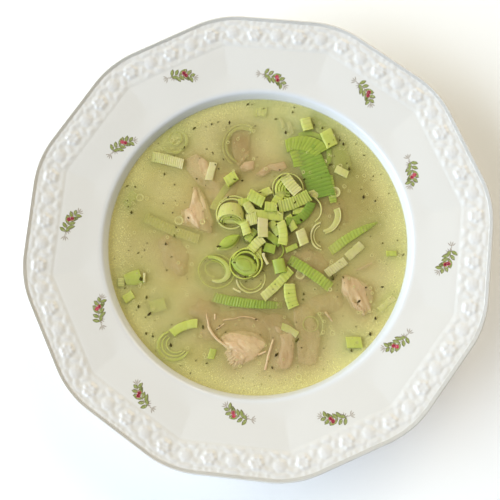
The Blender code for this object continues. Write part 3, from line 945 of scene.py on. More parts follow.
# %% Floating strips
# Each: spot x and y, length, width, thickness, heading, bow, how far its middle lies over the surface,
# number of veins, tones from end to end, and more about its shape.
FLOATING = {
    "leek_ribbon_front": (
        -1.5, -30.5, 35, 5, 1.4, -1, 16, -1.5, 25, (0.7, 0.8), dict(arch=0.0016, taper_end=0.3)
    ),
    "leek_ribbon_diagonal": (
        28.5, -12, 25, 5.4, 1.4, -29, -8, -0.9, 15, (0.72, 0.55), dict(arch=0.0010, skew=0)
    ),
    "leek_ribbon_right": (
        48, 9, 28, 5, 1.4, 37, -16, -1.2, 16, (0.5, 0.7), dict(taper_end=0.8, arch=0.0010)
    ),
    "leek_strip_right_back": (49.5, 1, 10, 4.5, 1.2, 47, 6, -0.6, 3, (0.05, 0.1), dict(rib_height=0.04)),
    "leek_strip_right_front": (41, -8, 11.5, 4.6, 1.2, 40, 0, -0.5, 9, (0.02, -0.1), dict(rib_height=0.12)),
    "leek_strip_left": (-50, 39, 16.5, 5.5, 1.2, -9, -4, -0.1, 15, (0.15, 0.0), dict(rib_height=0.14)),
    "leek_strip_pale": (-27, 35, 9.5, 4, 1.2, -99, 0, 0.0, 3, (-0.2, -0.1), dict(rib_height=0.03)),
    "leek_strip_back": (39.5, 41, 7, 4, 1.4, -21, 0, -0.3, 3, (0.12, 0.18), dict(rib_height=0.04)),
    "leek_strip_lower_left": (-32, -45, 14, 4.6, 1.4, 27, -44, -0.3, 4, (0.4, 0.3), dict(rib_height=0.06)),
    "leek_strip_pile_front": (
        12.6, -19.5, 20, 4.8, 1.5, 51, 10, 0.5, 10, (0.16, 0.42), dict(rib_height=0.12)
    ),
    "leek_curl_front": (
        19.6, -24.6, 12, 6, 1.8, -74, 22, 0.0, 6, (0.3, 0.4), dict(rib_height=0.05, skew=0)
    ),
    "leek_block_left": (-16.3, 32, 6.6, 5.6, 3.0, 41, 0, 0.2, 3, (0.3, 0.36), dict(rib_height=0.05)),
    "leek_block_back_left": (19.5, 64, 6.5, 5.5, 3.2, -70, 0, 0.3, 3, (0.24, 0.28), dict(rib_height=0.1)),
    "leek_block_back_right": (31.5, 57.5, 9, 6.5, 3.2, -62, 0, 0.0, 2, (0.34, 0.42), dict(rib_height=0.04)),
    "leek_block_lower_right": (53, -44.5, 7.4, 5.6, 3.0, 6, 0, -0.2, 2, (0.34, 0.4), dict(rib_height=0.05)),
    "leek_disc_left": (
        -60.5, -23.5, 8.6, 8, 2.6, 20, 0, -1.2, 0, (0.45, 0.5), dict(boxy=0.9, taper_start=0.3)
    ),
}
food = []
for name, (x, y, length, width, thick, heading, bow, lift, ribs, tones, more) in FLOATING.items():
    mesh = strip((x, y, lift), length, width, thick, heading, bow, ribs, tones, **more)
    food.append(piece(name, mesh, (name,), LEEK))

# %% Tongue of leaf
# The wide leaf at the back right: a broad ribbed leaf that curls over its own end, its loose edge beside
# it, and its tip that arches over.
WIDE_LEAF = dict(rib_height=0.2, taper_start=0.25, skew=0)
TONGUE = {
    "leek_tongue": [
        strip((25.8, 40.0, -0.3), 28, 14, 1.6, -66, -14, 14, (0.85, 1.0), roll=3, **WIDE_LEAF),
        strip((16.6, 47.6, -0.4), 12, 7.5, 1.2, -64, -24, 6, (0.6, 0.75), roll=-4, **WIDE_LEAF),
    ],
    "leek_tongue_edge": [
        strip(
            (34.9, 31.4, -0.2), 14, 4.6, 1.2, -74, -4, 10, (0.7, 0.6), taper_end=0.3,
            rib_height=0.12, skew=0
        ),
    ],
    "leek_tongue_tip": [
        strip((19.6, 54.0, 0.0), 20, 8.0, 1.5, -5, -74, 11, (0.6, 0.7), rib_height=0.15, skew=0.3),
        ring((21.5, 48.5, -1.0), 11.0, 2.8, 1.4, 0, -30, 120, (0.8, 0.65), uneven=STRIP_UNEVEN * MM),
    ],
}
for name, meshes in TONGUE.items():
    food.append(piece(name, joined(name, meshes), (name,), LEEK))

# %% Floating rings
RINGS = {
    "leek_ring_left": [
        ring(
            (-19.8, -15.0, -0.6), 7.6, 3.2, 2.0, -24, -76, 140, (0.15, 0.4), 0.74, taper_start=0.5,
            taper_end=0.4, boxy=0.3, ribs=28
        ),
        ring((-19.6, -15.4, -0.7), 6.0, 0.6, 1.8, -24, -60, 130, (0.5, 0.5), 0.74),
        ring((-18.8, -15.8, -1.5), 9.2, 0.9, 1.6, -10, 0, 360, (0.3, 0.3), 0.92),
        ring((-20.5, -15.0, -1.6), 4.4, 0.6, 1.4, -24, 90, 300, (0.3, 0.3), 0.8),
    ],
    "leek_ring_front": [
        ring((-1, -17.8, -0.8), 7.2, 1.0, 2.0, 6, 185, 378, (0.05, 0.15), taper_end=0.5),
        ring((-1, -17.4, -1.0), 5.9, 0.6, 1.6, 6, 195, 330, (0.2, 0.25)),
    ],
    "leek_ring_lower_left": [
        ring(
            (-36, -55, -1.4), 8, 1.9, 2.0, 6, 110, 335, (0.35, 0.3), 0.9, taper_start=0.5,
            taper_end=0.4, boxy=0.3
        ),
        ring((-35.6, -54.6, -1.3), 6.3, 1.0, 1.8, 6, 120, 325, (0.32, 0.25), 0.9, taper_start=0.5),
        ring((-35, -54.2, -1.3), 4.8, 0.8, 1.6, 6, 130, 310, (0.3, 0.25), 0.9),
    ],
    "leek_curl_right_thin": [
        ring((33, 7, -0.2), 6.0, 1.0, 1.8, 6, 100, 262, (0.02, 0.08), 1.15, taper_end=0.4),
        ring((33.2, 7, -0.4), 4.8, 0.6, 1.4, 6, 110, 255, (0.0, 0.1), 1.15),
    ],
    "leek_curl_right_thick": [
        ring((31.5, 17.5, -0.9), 8.0, 3.0, 2.0, 6, 275, 385, (0.1, 0.16), taper_start=0.6, boxy=0.4),
        ring((31.5, 17.5, -0.5), 9.4, 0.7, 2.0, 6, 280, 384, (0.02, 0.1)),
    ],
}
for name, meshes in RINGS.items():
    food.append(piece(name, joined(name, meshes), (name,), LEEK))
print(len(food), "cuts float at the surface")

# %% [markdown]
# ## The heap in the middle
#
# The solid model has the heap as one mound. Here it is about fifty cuts that lie over one another on a
# small core of soaked leaf. A physics drop would land them anywhere, so each is laid one by one: tilted
# squares and strips, a thick drum on its side, rings within rings, and a dome of tight green leaves in
# front.


# %% Heap
def nest(spot, radii, wall, height, heading, tones, **more):
    """Rings inside rings, as the leaves of a sliced stem lie."""
    made = []
    for number, radius in enumerate(radii):
        share = number / max(1, len(radii) - 1)
        tone = tones[0] + (tones[1] - tones[0]) * share
        made.append(ring(spot, radius, wall, height, heading, tones=(tone, tone), **more))
    return made


def dome(spot, length, width, height, heading, tone, **more):
    """The tight heart of a stem: a wide bar with a round section and round ends."""
    return strip(spot, length, width, height, heading, 0, 0, (tone, tone), boxy=0.95, skew=0, **more)


HEAP = [dome((4, 11, -1.5), 27, 24, 5, 20, 1.5, taper_start=0.4, taper_end=0.4)]
HEAP += [
    ring(
        (-3.6, -10.6, 0.9), 7.5, 1.2, 2.6, 0, -60, 170, (0.3, 0.4), roll=6, taper_start=0.3,
        taper_end=0.3
    ),
    ring(
        (-4.1, -11.1, 1.2), 6.1, 1.3, 2.8, 0, -70, 175, (0.4, 0.5), roll=6, taper_start=0.3,
        taper_end=0.3
    ),
    ring((-4.8, -11.0, -0.2), 7.4, 0.8, 2.0, 0, 0, 360, (0.35, 0.4)),
    dome((-5.0, -11.6, 0.9), 12.6, 11.5, 3.6, -24, 0.62, taper_start=0.6, taper_end=0.5, roll=8),
    dome((-5.0, -11.6, 2.0), 8.0, 7.6, 2.4, -24, 0.62, taper_start=0.6, taper_end=0.6, roll=8),
]
HEAP += nest(
    (-14.4, 12.9, -1.6), (6.2, 4.8, 3.4), 1.6, 8.0, 4, (0.2, 0.34), roll=60, ribs=26, clear=0.5
)
HEAP += [dome((-14.4, 12.4, -1.4), 5.6, 5.6, 7.4, 4, 0.25, roll=60)]
HEAP += [
    ring((-14.2, 14.0, -0.4), 7.7, 0.9, 1.8, 0, 0, 360, (0.15, 0.15)),
    ring((-13.2, 14.4, -0.6), 8.9, 0.8, 1.6, 0, 10, 150, (0.1, 0.2)),
    ring((13.0, 29.6, 0.2), 7.7, 0.7, 2.4, 0, 0, 360, (0.2, 0.2), roll=8),
]
HEAP += nest(
    (13.4, 29.2, 0.8), (6.2, 4.7, 3.2, 1.8), 1.5, 3.2, 10, (0.3, 0.55), start=80, end=280, roll=10
)
HEAP += [
    strip((14.6, 31.0, 3.1), 10.8, 5.8, 1.2, -46, 6, 7, (0.22, 0.06), rib_height=0.1, pitch=4, skew=0),
    strip((17.0, 22.4, 2.7), 16.5, 6.4, 1.2, 27, 20, 12, (0.3, 0.38), rib_height=0.14, roll=16, skew=0),
    strip((21.6, 15.8, 0.6), 17.5, 4.8, 1.4, 44, 82, 11, (0.8, 0.95), rib_height=0.08, roll=18, skew=0),
    strip((19.8, 18.6, 0.8), 6.5, 3.6, 1.2, 10, 0, 3, (0.4, 0.5), rib_height=0.06),
    ring((11.6, 19.4, 1.6), 3.4, 0.8, 3.0, 0, 95, 265, (0.1, 0.15)),
    dome((-14.0, -0.4, 0.5), 12.6, 7.4, 2.4, 37, 0.58, taper_start=1.0, taper_end=0.95),
    dome((-14.1, -0.9, -0.3), 13.8, 8.6, 1.2, 37, 0.3, taper_start=1.0, taper_end=0.95),
    strip((-2.3, 22.7, 2.5), 8.6, 5.8, 3.0, -26, 0, 4, (0.36, 0.4), rib_height=0.1, roll=8),
    strip((-5.4, 17.6, 1.7), 6.4, 4.6, 2.2, -52, 0, 3, (0.2, 0.26), rib_height=0.05),
    strip((5.4, 19.0, 2.6), 6.0, 5.0, 2.6, 2, 0, 3, (0.38, 0.44), rib_height=0.08, roll=-8),
    strip((4.6, 14.6, 1.9), 15, 5.2, 1.3, 3, 8, 5, (0.36, 0.3), rib_height=0.08, pitch=-3),
    strip((-3.6, 11.7, 2.6), 5.4, 6.6, 1.3, 22, 0, 5, (0.16, 0.24), rib_height=0.07, pitch=6, roll=-6),
    strip((2.5, 7.9, 3.3), 9.6, 5.2, 1.3, -84, 8, 3, (0.0, 0.08), rib_height=0.04, roll=-6),
    strip((0.2, -0.6, 2.6), 8.8, 5.2, 1.5, -129, 12, 5, (0.16, 0.3), rib_height=0.1, roll=10),
    strip((1.2, -5.0, 1.6), 6.0, 3.8, 1.4, -84, 0, 2, (0.34, 0.4), rib_height=0.05),
    strip((12.9, 6.3, 2.2), 11.8, 4.8, 1.8, -79, -38, 5, (0.26, 0.4), rib_height=0.06, roll=8, skew=0),
    strip((22.7, 5.2, 1.4), 7.8, 5.0, 3.0, -67, 0, 3, (0.06, 0.14), rib_height=0.05, roll=-4),
    strip((-6.0, 6.7, 2.4), 6.4, 4.4, 2.6, -69, 0, 3, (0.26, 0.32), rib_height=0.05, roll=10),
    strip((7.0, -1.9, 1.3), 5.6, 4.6, 2.2, -10, 0, 2, (0.75, 0.7), rib_height=0.05),
    strip((12.7, -10.4, 1.0), 7.2, 6.0, 3.4, -70, 0, 2, (0.6, 0.66), rib_height=0.04, roll=8, boxy=0.6),
    strip((5.0, -7.6, 1.0), 6.2, 1.5, 2.6, -60, 34, 0, (-0.1, 0.05), skew=0),
    strip((8.6, 8.6, 1.0), 8.0, 4.2, 1.4, -50, 0, 3, (0.4, 0.5), rib_height=0.05, roll=10),
    strip((-9.4, 10.6, 0.9), 7.6, 4.2, 1.4, -24, 10, 3, (0.35, 0.45), rib_height=0.06),
    strip((-3.0, 4.0, 1.0), 7, 3.8, 1.4, 60, 0, 3, (0.5, 0.6), rib_height=0.05),
    strip((16.4, 12.0, 0.9), 8, 4.0, 1.6, -60, 0, 3, (0.4, 0.36), rib_height=0.05, roll=10),
    strip((8.8, 24.2, 1.4), 8, 4.6, 1.5, 64, 0, 4, (0.36, 0.42), rib_height=0.08),
    strip((2.0, 26.4, 0.9), 6.0, 4.2, 2.0, 30, 0, 2, (0.24, 0.26), rib_height=0.05),
    strip((8.4, 3.0, 0.7), 8.6, 3.8, 1.4, -34, 0, 3, (0.6, 0.7), rib_height=0.06),
    strip((-8.6, 20.6, 0.6), 5.6, 4.0, 1.6, 10, 0, 3, (0.3, 0.4), rib_height=0.05),
    strip((17.8, -0.6, 0.2), 6.4, 2.8, 1.2, 30, 0, 2, (0.5, 0.5), rib_height=0.04),
    ring((23.4, 19.6, 0.4), 7.6, 0.7, 1.6, 0, -50, 70, (0.05, 0.15)),
    ring((9.4, -2.6, 0.2), 4.6, 0.6, 1.6, 0, -60, 100, (0.6, 0.6)),
]
heap_mesh = joined("leek_heap", HEAP)
food.append(piece("leek_heap", heap_mesh, ("leek_pile",), LEEK))
print(len(HEAP), "cuts in the heap, top at", round(max(v.co.z for v in heap_mesh.vertices) / MM, 1), "mm")

# %% [markdown]
# ## Torn chicken
#
# Boiled chicken is torn, not cut: soft lumps of muscle with shallow grooves along the grain and frayed
# ends, most of it just under the surface. Sculpting each by hand would be slow. A tree starts from a ball,
# stretches it and swells it with slow noise. Flat slabs give a piece its torn outline, lobes are laid over
# them, and all are remeshed into one skin and smoothed, as flesh grows together. A second tree then presses
# the grain into that skin, with noise that is drawn out along the piece.


# %% Meat's trees
def lobe_tree():
    tree, given = new_tree("lobe", Detail=5, Length=0.02, Width=0.012, Height=0.009, Lobes=0.25, Seed=0.0)
    start = put(tree, "GeometryNodeMeshIcoSphere", {"Radius": 1.0, "Subdivisions": given["Detail"]})
    x, y, z = here(tree)
    at = {"Vector": vector(tree, x, y, z), "W": given["Seed"], "Scale": 1.3, "Detail": 1.0}
    swell = out(put(tree, "ShaderNodeTexNoise", at, noise_dimensions="4D"))
    radial = (swell - 0.5) * given["Lobes"] * 2.4 + 1
    sides = zip((x, y, z), (given["Length"], given["Width"], given["Height"]))
    place = vector(tree, *(way * radial * size * 0.5 for way, size in sides))
    return end_tree(tree, moved(tree, out(start), place))


def grain_tree():
    """Presses the grain into a skin. Turn is the direction of the fibres."""
    tree, given = new_tree("grain", Turn=0.0, Depth=0.0005, Lumps=0.0006, Seed=0.0)
    x, y, z = here(tree)
    along = x * given["Turn"].math("COSINE") + y * given["Turn"].math("SINE")
    across = y * given["Turn"].math("COSINE") - x * given["Turn"].math("SINE")

    def noise_at(point, extra, scale, detail):
        at = {"Vector": point, "W": given["Seed"] + extra, "Scale": scale, "Detail": detail}
        return out(put(tree, "ShaderNodeTexNoise", at, noise_dimensions="4D"))

    strands = noise_at(vector(tree, along * 0.22, across, z), 0, 420.0, 3.0)
    lumps = noise_at(vector(tree, along * 0.6, across, z), 5, 150.0, 2.0)
    ridge = 1 - (strands * 2 - 1).math("ABSOLUTE") * 3
    height = ridge * given["Depth"] * 0.5 + (lumps - 0.5) * given["Lumps"] * 2
    at = {0: out(put(tree, "GeometryNodeInputNormal")), "Scale": height}
    push = out(put(tree, "ShaderNodeVectorMath", at, operation="SCALE"))
    kept = store(tree, given["Geometry"], "fibre", ridge)
    return end_tree(tree, out(put(tree, "GeometryNodeSetPosition", {"Geometry": kept, "Offset": push})))


LOBE_TREE = lobe_tree()
GRAIN_TREE = grain_tree()
lobes_made = []
SLAB_THICKNESS = 2.6


def lobe(spot, length, width, height, heading, pitch=0, **more):
    """A lobe of meat. Sizes in mm, angles in degrees, the spot's height from the surface."""
    lobes_made.append(heading)
    seed = float(len(lobes_made) * 3)
    sizes = measures(more, Length=length * MM, Width=width * MM, Height=height * MM, Seed=seed)
    return placed(grown("lobe", LOBE_TREE, **sizes), spot, heading, pitch)


def slab(peak, *corners, thickness=SLAB_THICKNESS):
    """A torn flat piece: its highest point and its corners, each x, y and height over the surface in mm."""
    bm = bmesh.new()
    over = [bm.verts.new((x * MM, y * MM, (WATER + up) * MM)) for x, y, up in (peak, *corners)]
    under = [bm.verts.new((v.co.x, v.co.y, v.co.z - thickness * MM)) for v in over]
    last = len(corners)
    for number in range(1, last + 1):
        after = number % last + 1
        bm.faces.new((over[0], over[number], over[after]))
        bm.faces.new((under[0], under[after], under[number]))
        bm.faces.new((over[number], under[number], under[after], over[after]))
    return facing_out(baked("slab", bm))


def marked(mesh, name, value):
    """Gives every point of a mesh the same value under a name."""
    kept = mesh.attributes.new(name, "FLOAT", "POINT")
    kept.data.foreach_set("value", [value] * len(mesh.vertices))
    return mesh


def flesh(name, heading, lobes, voxel=0.4, rounds=7, depth=0.3, lumps=0.6, dull=0.0):
    """Lobes grown together into one skin, with the grain along the heading."""
    carrier = carried(name + "_lobes", joined(name, lobes))
    skin_step = carrier.modifiers.new("one skin", "REMESH")
    skin_step.mode = "VOXEL"
    skin_step.voxel_size = voxel * MM
    soft_step = carrier.modifiers.new("soft", "SMOOTH")
    soft_step.factor = 0.5
    soft_step.iterations = rounds
    graph = bpy.context.evaluated_depsgraph_get()
    mesh = bpy.data.meshes.new_from_object(carrier.evaluated_get(graph))
    bpy.data.objects.remove(carrier, do_unlink=True)
    settings = dict(Turn=math.radians(heading), Depth=depth * MM, Lumps=lumps * MM)
    settings["Seed"] = float(len(lobes_made))
    return marked(facing_out(grown(name, GRAIN_TREE, mesh, **settings)), "dull", dull)


# %% [markdown]
# ## Meat's material
#
# Boiled chicken is yellowish to pinkish beige, paler on the ridges of its fibres and browner in its
# grooves. Under the surface it soon fades into brownish broth.


# %% Meat material
def meat_material():
    material, tree, shader = shader_of("boiled_chicken")
    point = object_point(tree)
    fibre = attribute(tree, "fibre")
    colour = blend(tree, fibre.smooth(-0.3, 0.8), paint(190, 154, 108), paint(216, 188, 142))
    colour = blend(tree, grain(tree, point, 0.006).smooth(0.42, 0.66) * 0.6, colour, paint(204, 164, 124))
    colour = blend(tree, grain(tree, point, 0.0014).smooth(0.5, 0.75) * 0.25, colour, paint(230, 208, 166))
    colour = blend(tree, attribute(tree, "dull"), colour, paint(160, 132, 86))
    dress(shader, {"Base Color": sunk(tree, colour, 0.0042, paint(180, 144, 94), 0.8)})
    dress(shader, {"Roughness": grain(tree, point, 0.001) * 0.2 + 0.4, "Specular IOR Level": 0.35})
    dress(shader, {"Subsurface Weight": 0.25, "Subsurface Radius": (1.0, 0.7, 0.4)})
    dress(shader, {"Subsurface Scale": 0.0015})
    bump(tree, shader, grain(tree, point, 0.0009, 3.0), 0.00012)
    return material


MEAT = meat_material()

# %% Chicken at the surface
# Each piece: the direction of its fibres, how dull it is, and the slabs and lobes that it grew from.
FRONT = [
    slab(
        (-1.0, -49.0, 0.2), (-13.6, -49.2, -0.7), (-10.7, -46.2, -0.9), (-2.7, -44.0, -1.2),
        (5.3, -45.0, -1.1), (10.0, -48.7, -0.8), (9.2, -51.6, -0.4), (-2.0, -53.5, -0.2),
        (-9.0, -53.0, -0.2),
    ),
    slab(
        (-4.0, -54.0, 0.6), (-13.0, -51.4, -0.8), (-8.0, -50.2, 0.0), (0.0, -50.8, 0.0),
        (9.6, -50.4, -0.5), (6.9, -54.0, -0.6), (5.8, -57.0, -0.9), (-0.9, -61.2, -0.9),
        (-4.9, -63.7, -1.3), (-6.7, -60.4, -0.8), (-8.3, -55.6, -0.6),
    ),
    lobe((-6.0, -52.4, -1.0), 11, 4.6, 3.4, -12),
    lobe((-1.0, -57.6, -1.5), 9, 3.4, 3.0, 40),
    # Two small torn tips.
    lobe((4.7321, -56.2444, -1.45), 3.6, 1.5, 1.5, -66, -4.5),
    lobe((5.1071, -55.4044, -1.45), 2.737, 1.5, 1.5, -36, -4.5),
]
FRONT_RIGHT = [
    slab(
        (18.6, -47.0, -0.4), (6.6, -37.0, -2.0), (11.3, -34.0, -1.9), (16.4, -34.6, -1.7),
        (19.5, -37.1, -1.5), (22.7, -40.4, -1.0), (23.9, -45.2, -0.9), (24.0, -54.4, -0.3),
        (22.5, -60.2, -0.4), (16.2, -61.8, -0.9), (13.1, -59.0, -2.2), (12.2, -49.9, -2.1),
        (10.9, -43.7, -1.9), (7.6, -39.7, -2.0),
    ),
    lobe((19.8, -53.4, -1.5), 15, 8.0, 2.6, -84),
    lobe((15.4, -42.4, -1.9), 9, 3.4, 2.6, -36),
    lobe((19.6, -44.4, -1.7), 6, 1.8, 2.0, -10),
    lobe((18.8, -46.8, -1.6), 6, 1.6, 2.0, -22),
]
RIGHT = [
    slab(
        (50.0, -17.4, 0.0), (45.7, -11.2, -0.8), (52.0, -12.5, -0.8), (56.6, -14.9, -1.0),
        (59.9, -17.7, -1.3), (60.7, -22.6, -1.3), (60.0, -25.8, -1.2), (59.0, -29.0, -1.0),
        (56.7, -31.1, -1.0), (54.6, -28.2, -1.0), (50.5, -27.4, -1.1), (48.0, -23.3, -1.0),
        (46.0, -21.9, -0.7), (44.5, -19.2, -0.7), (44.8, -14.8, -0.7),
    ),
    lobe((54.4, -23.0, -1.5), 16, 3.4, 3.4, -59),
    lobe((47.4, -17.2, -1.5), 11, 5.0, 3.4, -70),
    lobe((50.6, -24.2, -1.7), 9, 2.0, 2.6, -62),
    lobe((57.4, -23.4, -1.6), 13, 3.2, 2.8, -64),
]
LEFT = [
    slab(
        (-33.0, 12.0, 0.2), (-35.5, 26.7, -1.0), (-32.5, 26.2, -1.2), (-28.6, 21.3, -1.3),
        (-26.3, 16.3, -1.2), (-23.3, 9.9, -1.6), (-23.3, 3.3, -1.8), (-30.1, 4.8, -1.2),
        (-39.1, 6.2, -1.0), (-40.3, 13.5, -1.0), (-36.5, 15.4, -0.8), (-35.2, 20.7, -0.8),
    ),
    lobe((-33.9, 20.0, -1.5), 14, 3.2, 3.2, -90),
    lobe((-29.2, 18.6, -1.9), 14, 3.0, 2.8, -63),
    lobe((-33.0, 9.6, -1.2), 12, 4.0, 3.0, -56),
]
BACK_LEFT = [
    slab(
        (-8.2, 40.0, -0.1), (-12.8, 38.6, -0.7), (-10.6, 41.8, -0.8), (-5.5, 43.0, -0.6),
        (-5.1, 38.5, -0.6), (-8.6, 36.7, -0.9), (-11.5, 36.8, -1.0), thickness=1.8,
    ),
    lobe((-10.4, 45.0, -1.8), 9, 2.0, 1.8, 62),
]
BACK_RIGHT = [
    slab(
        (6.5, 40.8, -0.2), (1.2, 41.9, -0.7), (5.6, 42.5, -0.5), (9.9, 44.0, -0.5), (11.7, 40.6, -0.5),
        (8.9, 38.2, -0.6), (4.5, 38.8, -0.6), (2.3, 38.1, -0.8), thickness=1.8,
    ),
    slab(
        (-0.6, 37.6, -0.3), (-4.2, 36.0, -0.6), (-0.4, 40.2, -0.6), (2.9, 41.2, -0.6),
        (3.2, 38.2, -0.7), (0.2, 35.2, -0.7), (-2.5, 34.8, -1.0), thickness=1.8,
    ),
]
CHICKEN = {
    "chicken_front": (-36, 0.0, FRONT),
    "chicken_front_right": (-80, 0.4, FRONT_RIGHT),
    "chicken_right": (-62, 0.15, RIGHT),
    "chicken_left": (-74, 0.0, LEFT),
    "chicken_back_left": (28, 0.2, BACK_LEFT),
    "chicken_back_right": (24, 0.5, BACK_RIGHT),
}
for name, (heading, dull, parts) in CHICKEN.items():
    food.append(piece(name, flesh(name, heading, parts, dull=dull), (name,), MEAT))
print(len(lobes_made), "lobes of chicken at the surface")

# %% [markdown]
# ## What lies in the broth
#
# More chicken, a long faint strip of leek, ring slices and pale sticks hang just under the surface. They
# are only hinted at through the cloudy liquid, and they colour it brownish or greenish where they lie.

# %% Sunk pieces
SUNK_MEAT = [
    slab(
        (30.0, -46.0, -1.0), (21.8, -31.2, -2.1), (26.5, -28.2, -2.1), (31.1, -31.0, -1.9),
        (32.9, -35.1, -1.7), (36.3, -41.8, -1.2), (36.7, -46.0, -1.0), (35.6, -56.7, -0.9),
        (32.2, -58.4, -1.1), (26.4, -56.9, -1.2), (24.6, -45.1, -1.7), (22.3, -36.8, -2.2),
    ),
    slab(
        (-31.0, 35.5, -0.4), (-41.6, 40.5, -1.6), (-36.0, 44.0, -0.9), (-28.9, 40.1, -0.7),
        (-26.4, 31.3, -0.7), (-21.7, 28.7, -1.9), (-22.8, 25.6, -2.1), (-32.7, 27.7, -2.1),
        (-40.2, 35.3, -1.6),
    ),
    slab(
        (-14.0, 49.0, -2.0), (-19.2, 58.2, -3.0), (-14.0, 60.5, -3.0), (-9.4, 59.1, -3.0),
        (-8.8, 52.0, -2.6), (-10.0, 45.0, -2.2), (-13.0, 39.5, -2.2), (-15.9, 42.1, -2.3),
        (-18.0, 47.2, -2.5),
    ),
    slab(
        (-19.6, -46.4, -0.6), (-24.4, -49.4, -0.8), (-22.8, -44.3, -0.8), (-20.2, -41.8, -1.1),
        (-16.2, -38.6, -2.0), (-9.8, -43.4, -2.4), (-13.1, -49.2, -2.4), (-19.2, -51.0, -2.4),
        thickness=1.6,
    ),
    lobe((-41.5, -10.0, -4.9), 25, 15, 6, -52, lobes=0.5),
    lobe((-38.0, -15.0, -4.2), 11, 8, 4.6, -42),
    lobe((22, -8, -5.0), 30, 18, 6, -14, lobes=0.5),
    lobe((-19.5, -38, -4.9), 24, 13, 6, -28, lobes=0.5),
    lobe((-26.0, -36, -4.6), 12, 8, 5, 20),
    lobe((3.0, -41, -4.8), 34, 14, 6, -8, lobes=0.5),
    lobe((38.0, -26, -5.2), 22, 14, 6, 30, lobes=0.5),
    lobe((-22.0, 26, -5.2), 24, 18, 6, 60, lobes=0.5),
    lobe((36.0, 24, -5.4), 22, 14, 6, -50, lobes=0.5),
]
sunk_mesh = flesh("chicken_sunk", -70, SUNK_MEAT, 0.7, 5, 0.3, 1.0, dull=0.1)
food.append(piece("chicken_sunk", sunk_mesh, (), MEAT))
SUNK_LEEK = [
    strip((-44.3, 3.4, -2.3), 30, 5, 1.4, -17, 10, 20, (0.35, 0.25), pitch=-1),
    strip((6.7, 64.1, -1.3), 5.5, 1.8, 1.2, -66, 0, 0, (0.0, 0.1)),
    strip((11.2, 61.8, -1.7), 7, 2.2, 1.2, -66, 0, 0, (0.0, 0.1)),
    ring((-12.4, 50.6, -1.7), 8.4, 1.8, 1.4, 6, 50, 250, (0.4, 0.35), 1.1, taper_end=0.6),
    ring((-12.4, 50.4, -1.9), 10.2, 1.0, 1.4, 6, 60, 240, (0.35, 0.3), 1.1),
    ring((-48.2, 50, -2.0), 6.5, 1.6, 1.4, 0, 0, 360, (0.5, 0.4)),
    ring((-47.6, 51, -1.5), 3.2, 0.7, 1.4, 0, 0, 360, (0.3, 0.3)),
    strip((-4.6, 69, -1.3), 5.5, 5.0, 1.6, 6, 0, 3, (0.2, 0.2), rib_height=0.05),
    strip((-67.0, 17, -1.6), 8, 5.0, 1.4, 60, 0, 6, (0.55, 0.5), rib_height=0.08),
    strip((67.5, -23.7, -1.2), 10, 3.6, 1.4, 46, 0, 4, (0.1, 0.1), rib_height=0.04),
    strip((-20.5, 24, -2.1), 18, 3.6, 1.4, 62, -16, 0, (0.3, 0.4)),
    strip((27.5, 64, -1.7), 14, 7.0, 1.6, -40, 0, 0, (0.55, 0.5), boxy=0.9),
    strip((38.5, 48, -2.1), 14, 9.0, 1.6, -70, 0, 0, (0.6, 0.6), boxy=0.9),
    ring((30.5, -38.5, -1.8), 6.6, 0.8, 1.2, 0, -150, 60, (0.2, 0.2), 1.2),
    ring((31.0, -37.5, -1.4), 3.7, 0.6, 1.0, 0, 0, 360, (0.2, 0.2), 1.0),
]
food.append(piece("leek_sunk", joined("leek_sunk", SUNK_LEEK), (), LEEK))
SMALL_LEEK = [
    strip((-61.5, -33.3, -0.3), 5.5, 4.4, 1.2, 43, 0, 2, (0.4, 0.3), rib_height=0.05),
    strip((-54.6, -22.8, 0.1), 4.8, 1.2, 1.0, -84, 0, 0, (-0.2, -0.1)),
    strip((-66.3, -26.2, -0.3), 4.2, 3.4, 1.2, -84, 0, 3, (0.15, 0.2), rib_height=0.05),
    strip((67.7, 1.5, -0.3), 5.0, 3.0, 1.2, 6, 0, 2, (0.42, 0.42), rib_height=0.05),
    strip((-16.4, -57.2, -0.4), 5.0, 3.6, 1.2, 80, 0, 2, (0.42, 0.42), rib_height=0.05),
    strip((21.0, -41.6, -1.0), 9.0, 3.5, 1.2, -24, -14, 0, (0.2, 0.15)),
    strip((-46.5, -36, -1.4), 8.0, 6.5, 1.2, 20, 0, 0, (0.42, 0.4), boxy=0.9),
    strip((-7.5, -24.5, 0.1), 4.2, 0.9, 0.8, -24, 0, 0, (-0.1, 0.0)),
    strip((26.6, 27.4, 0.0), 5.6, 3.6, 1.0, -50, 0, 2, (0.16, 0.2), rib_height=0.04, taper_end=0.9),
]
food.append(piece("leek_bits", joined("leek_bits", SMALL_LEEK), (), LEEK))

# %% Shreds
# Thin strands and scraps of skin round the front pieces.
def shred(spot, length, width, thickness, heading, bow=0, **ends):
    return strip(spot, length, width, thickness, heading, bow, boxy=0.9, **ends)


SHREDS = [
    shred((-20.4, -41.0, 0.1), 7, 1.0, 0.9, -73, 8, taper_start=0.7),
    shred((-15.2, -49.3, 0.2), 14.5, 1.4, 1.1, -40, 46, taper_end=0.3),
    shred((11.7, -54.8, 0.1), 15.5, 1.3, 1.0, -99, 8, taper_start=0.3),
    shred((8.4, -54.5, 0.1), 4.4, 0.9, 0.8, 29, 10),
    shred((-1.5, -37.2, -0.4), 13, 0.8, 0.8, 2, -60, taper_start=0.5, taper_end=0.5),
    shred((-9.6, -39.2, -0.4), 6.5, 0.8, 0.8, 12, -20, taper_end=0.5),
    shred((-16.9, -38.8, 0.0), 2.8, 0.9, 0.8, -85),
    shred((-14.0, -43.6, 0.0), 5.4, 0.6, 0.6, 41),
    shred((39.6, -33.0, -0.8), 6.0, 1.2, 0.9, -48, taper_end=0.5),
    shred((55.0, -6.5, -1.2), 9.0, 1.8, 0.9, 30, 14, taper_start=0.5, taper_end=0.5),
]
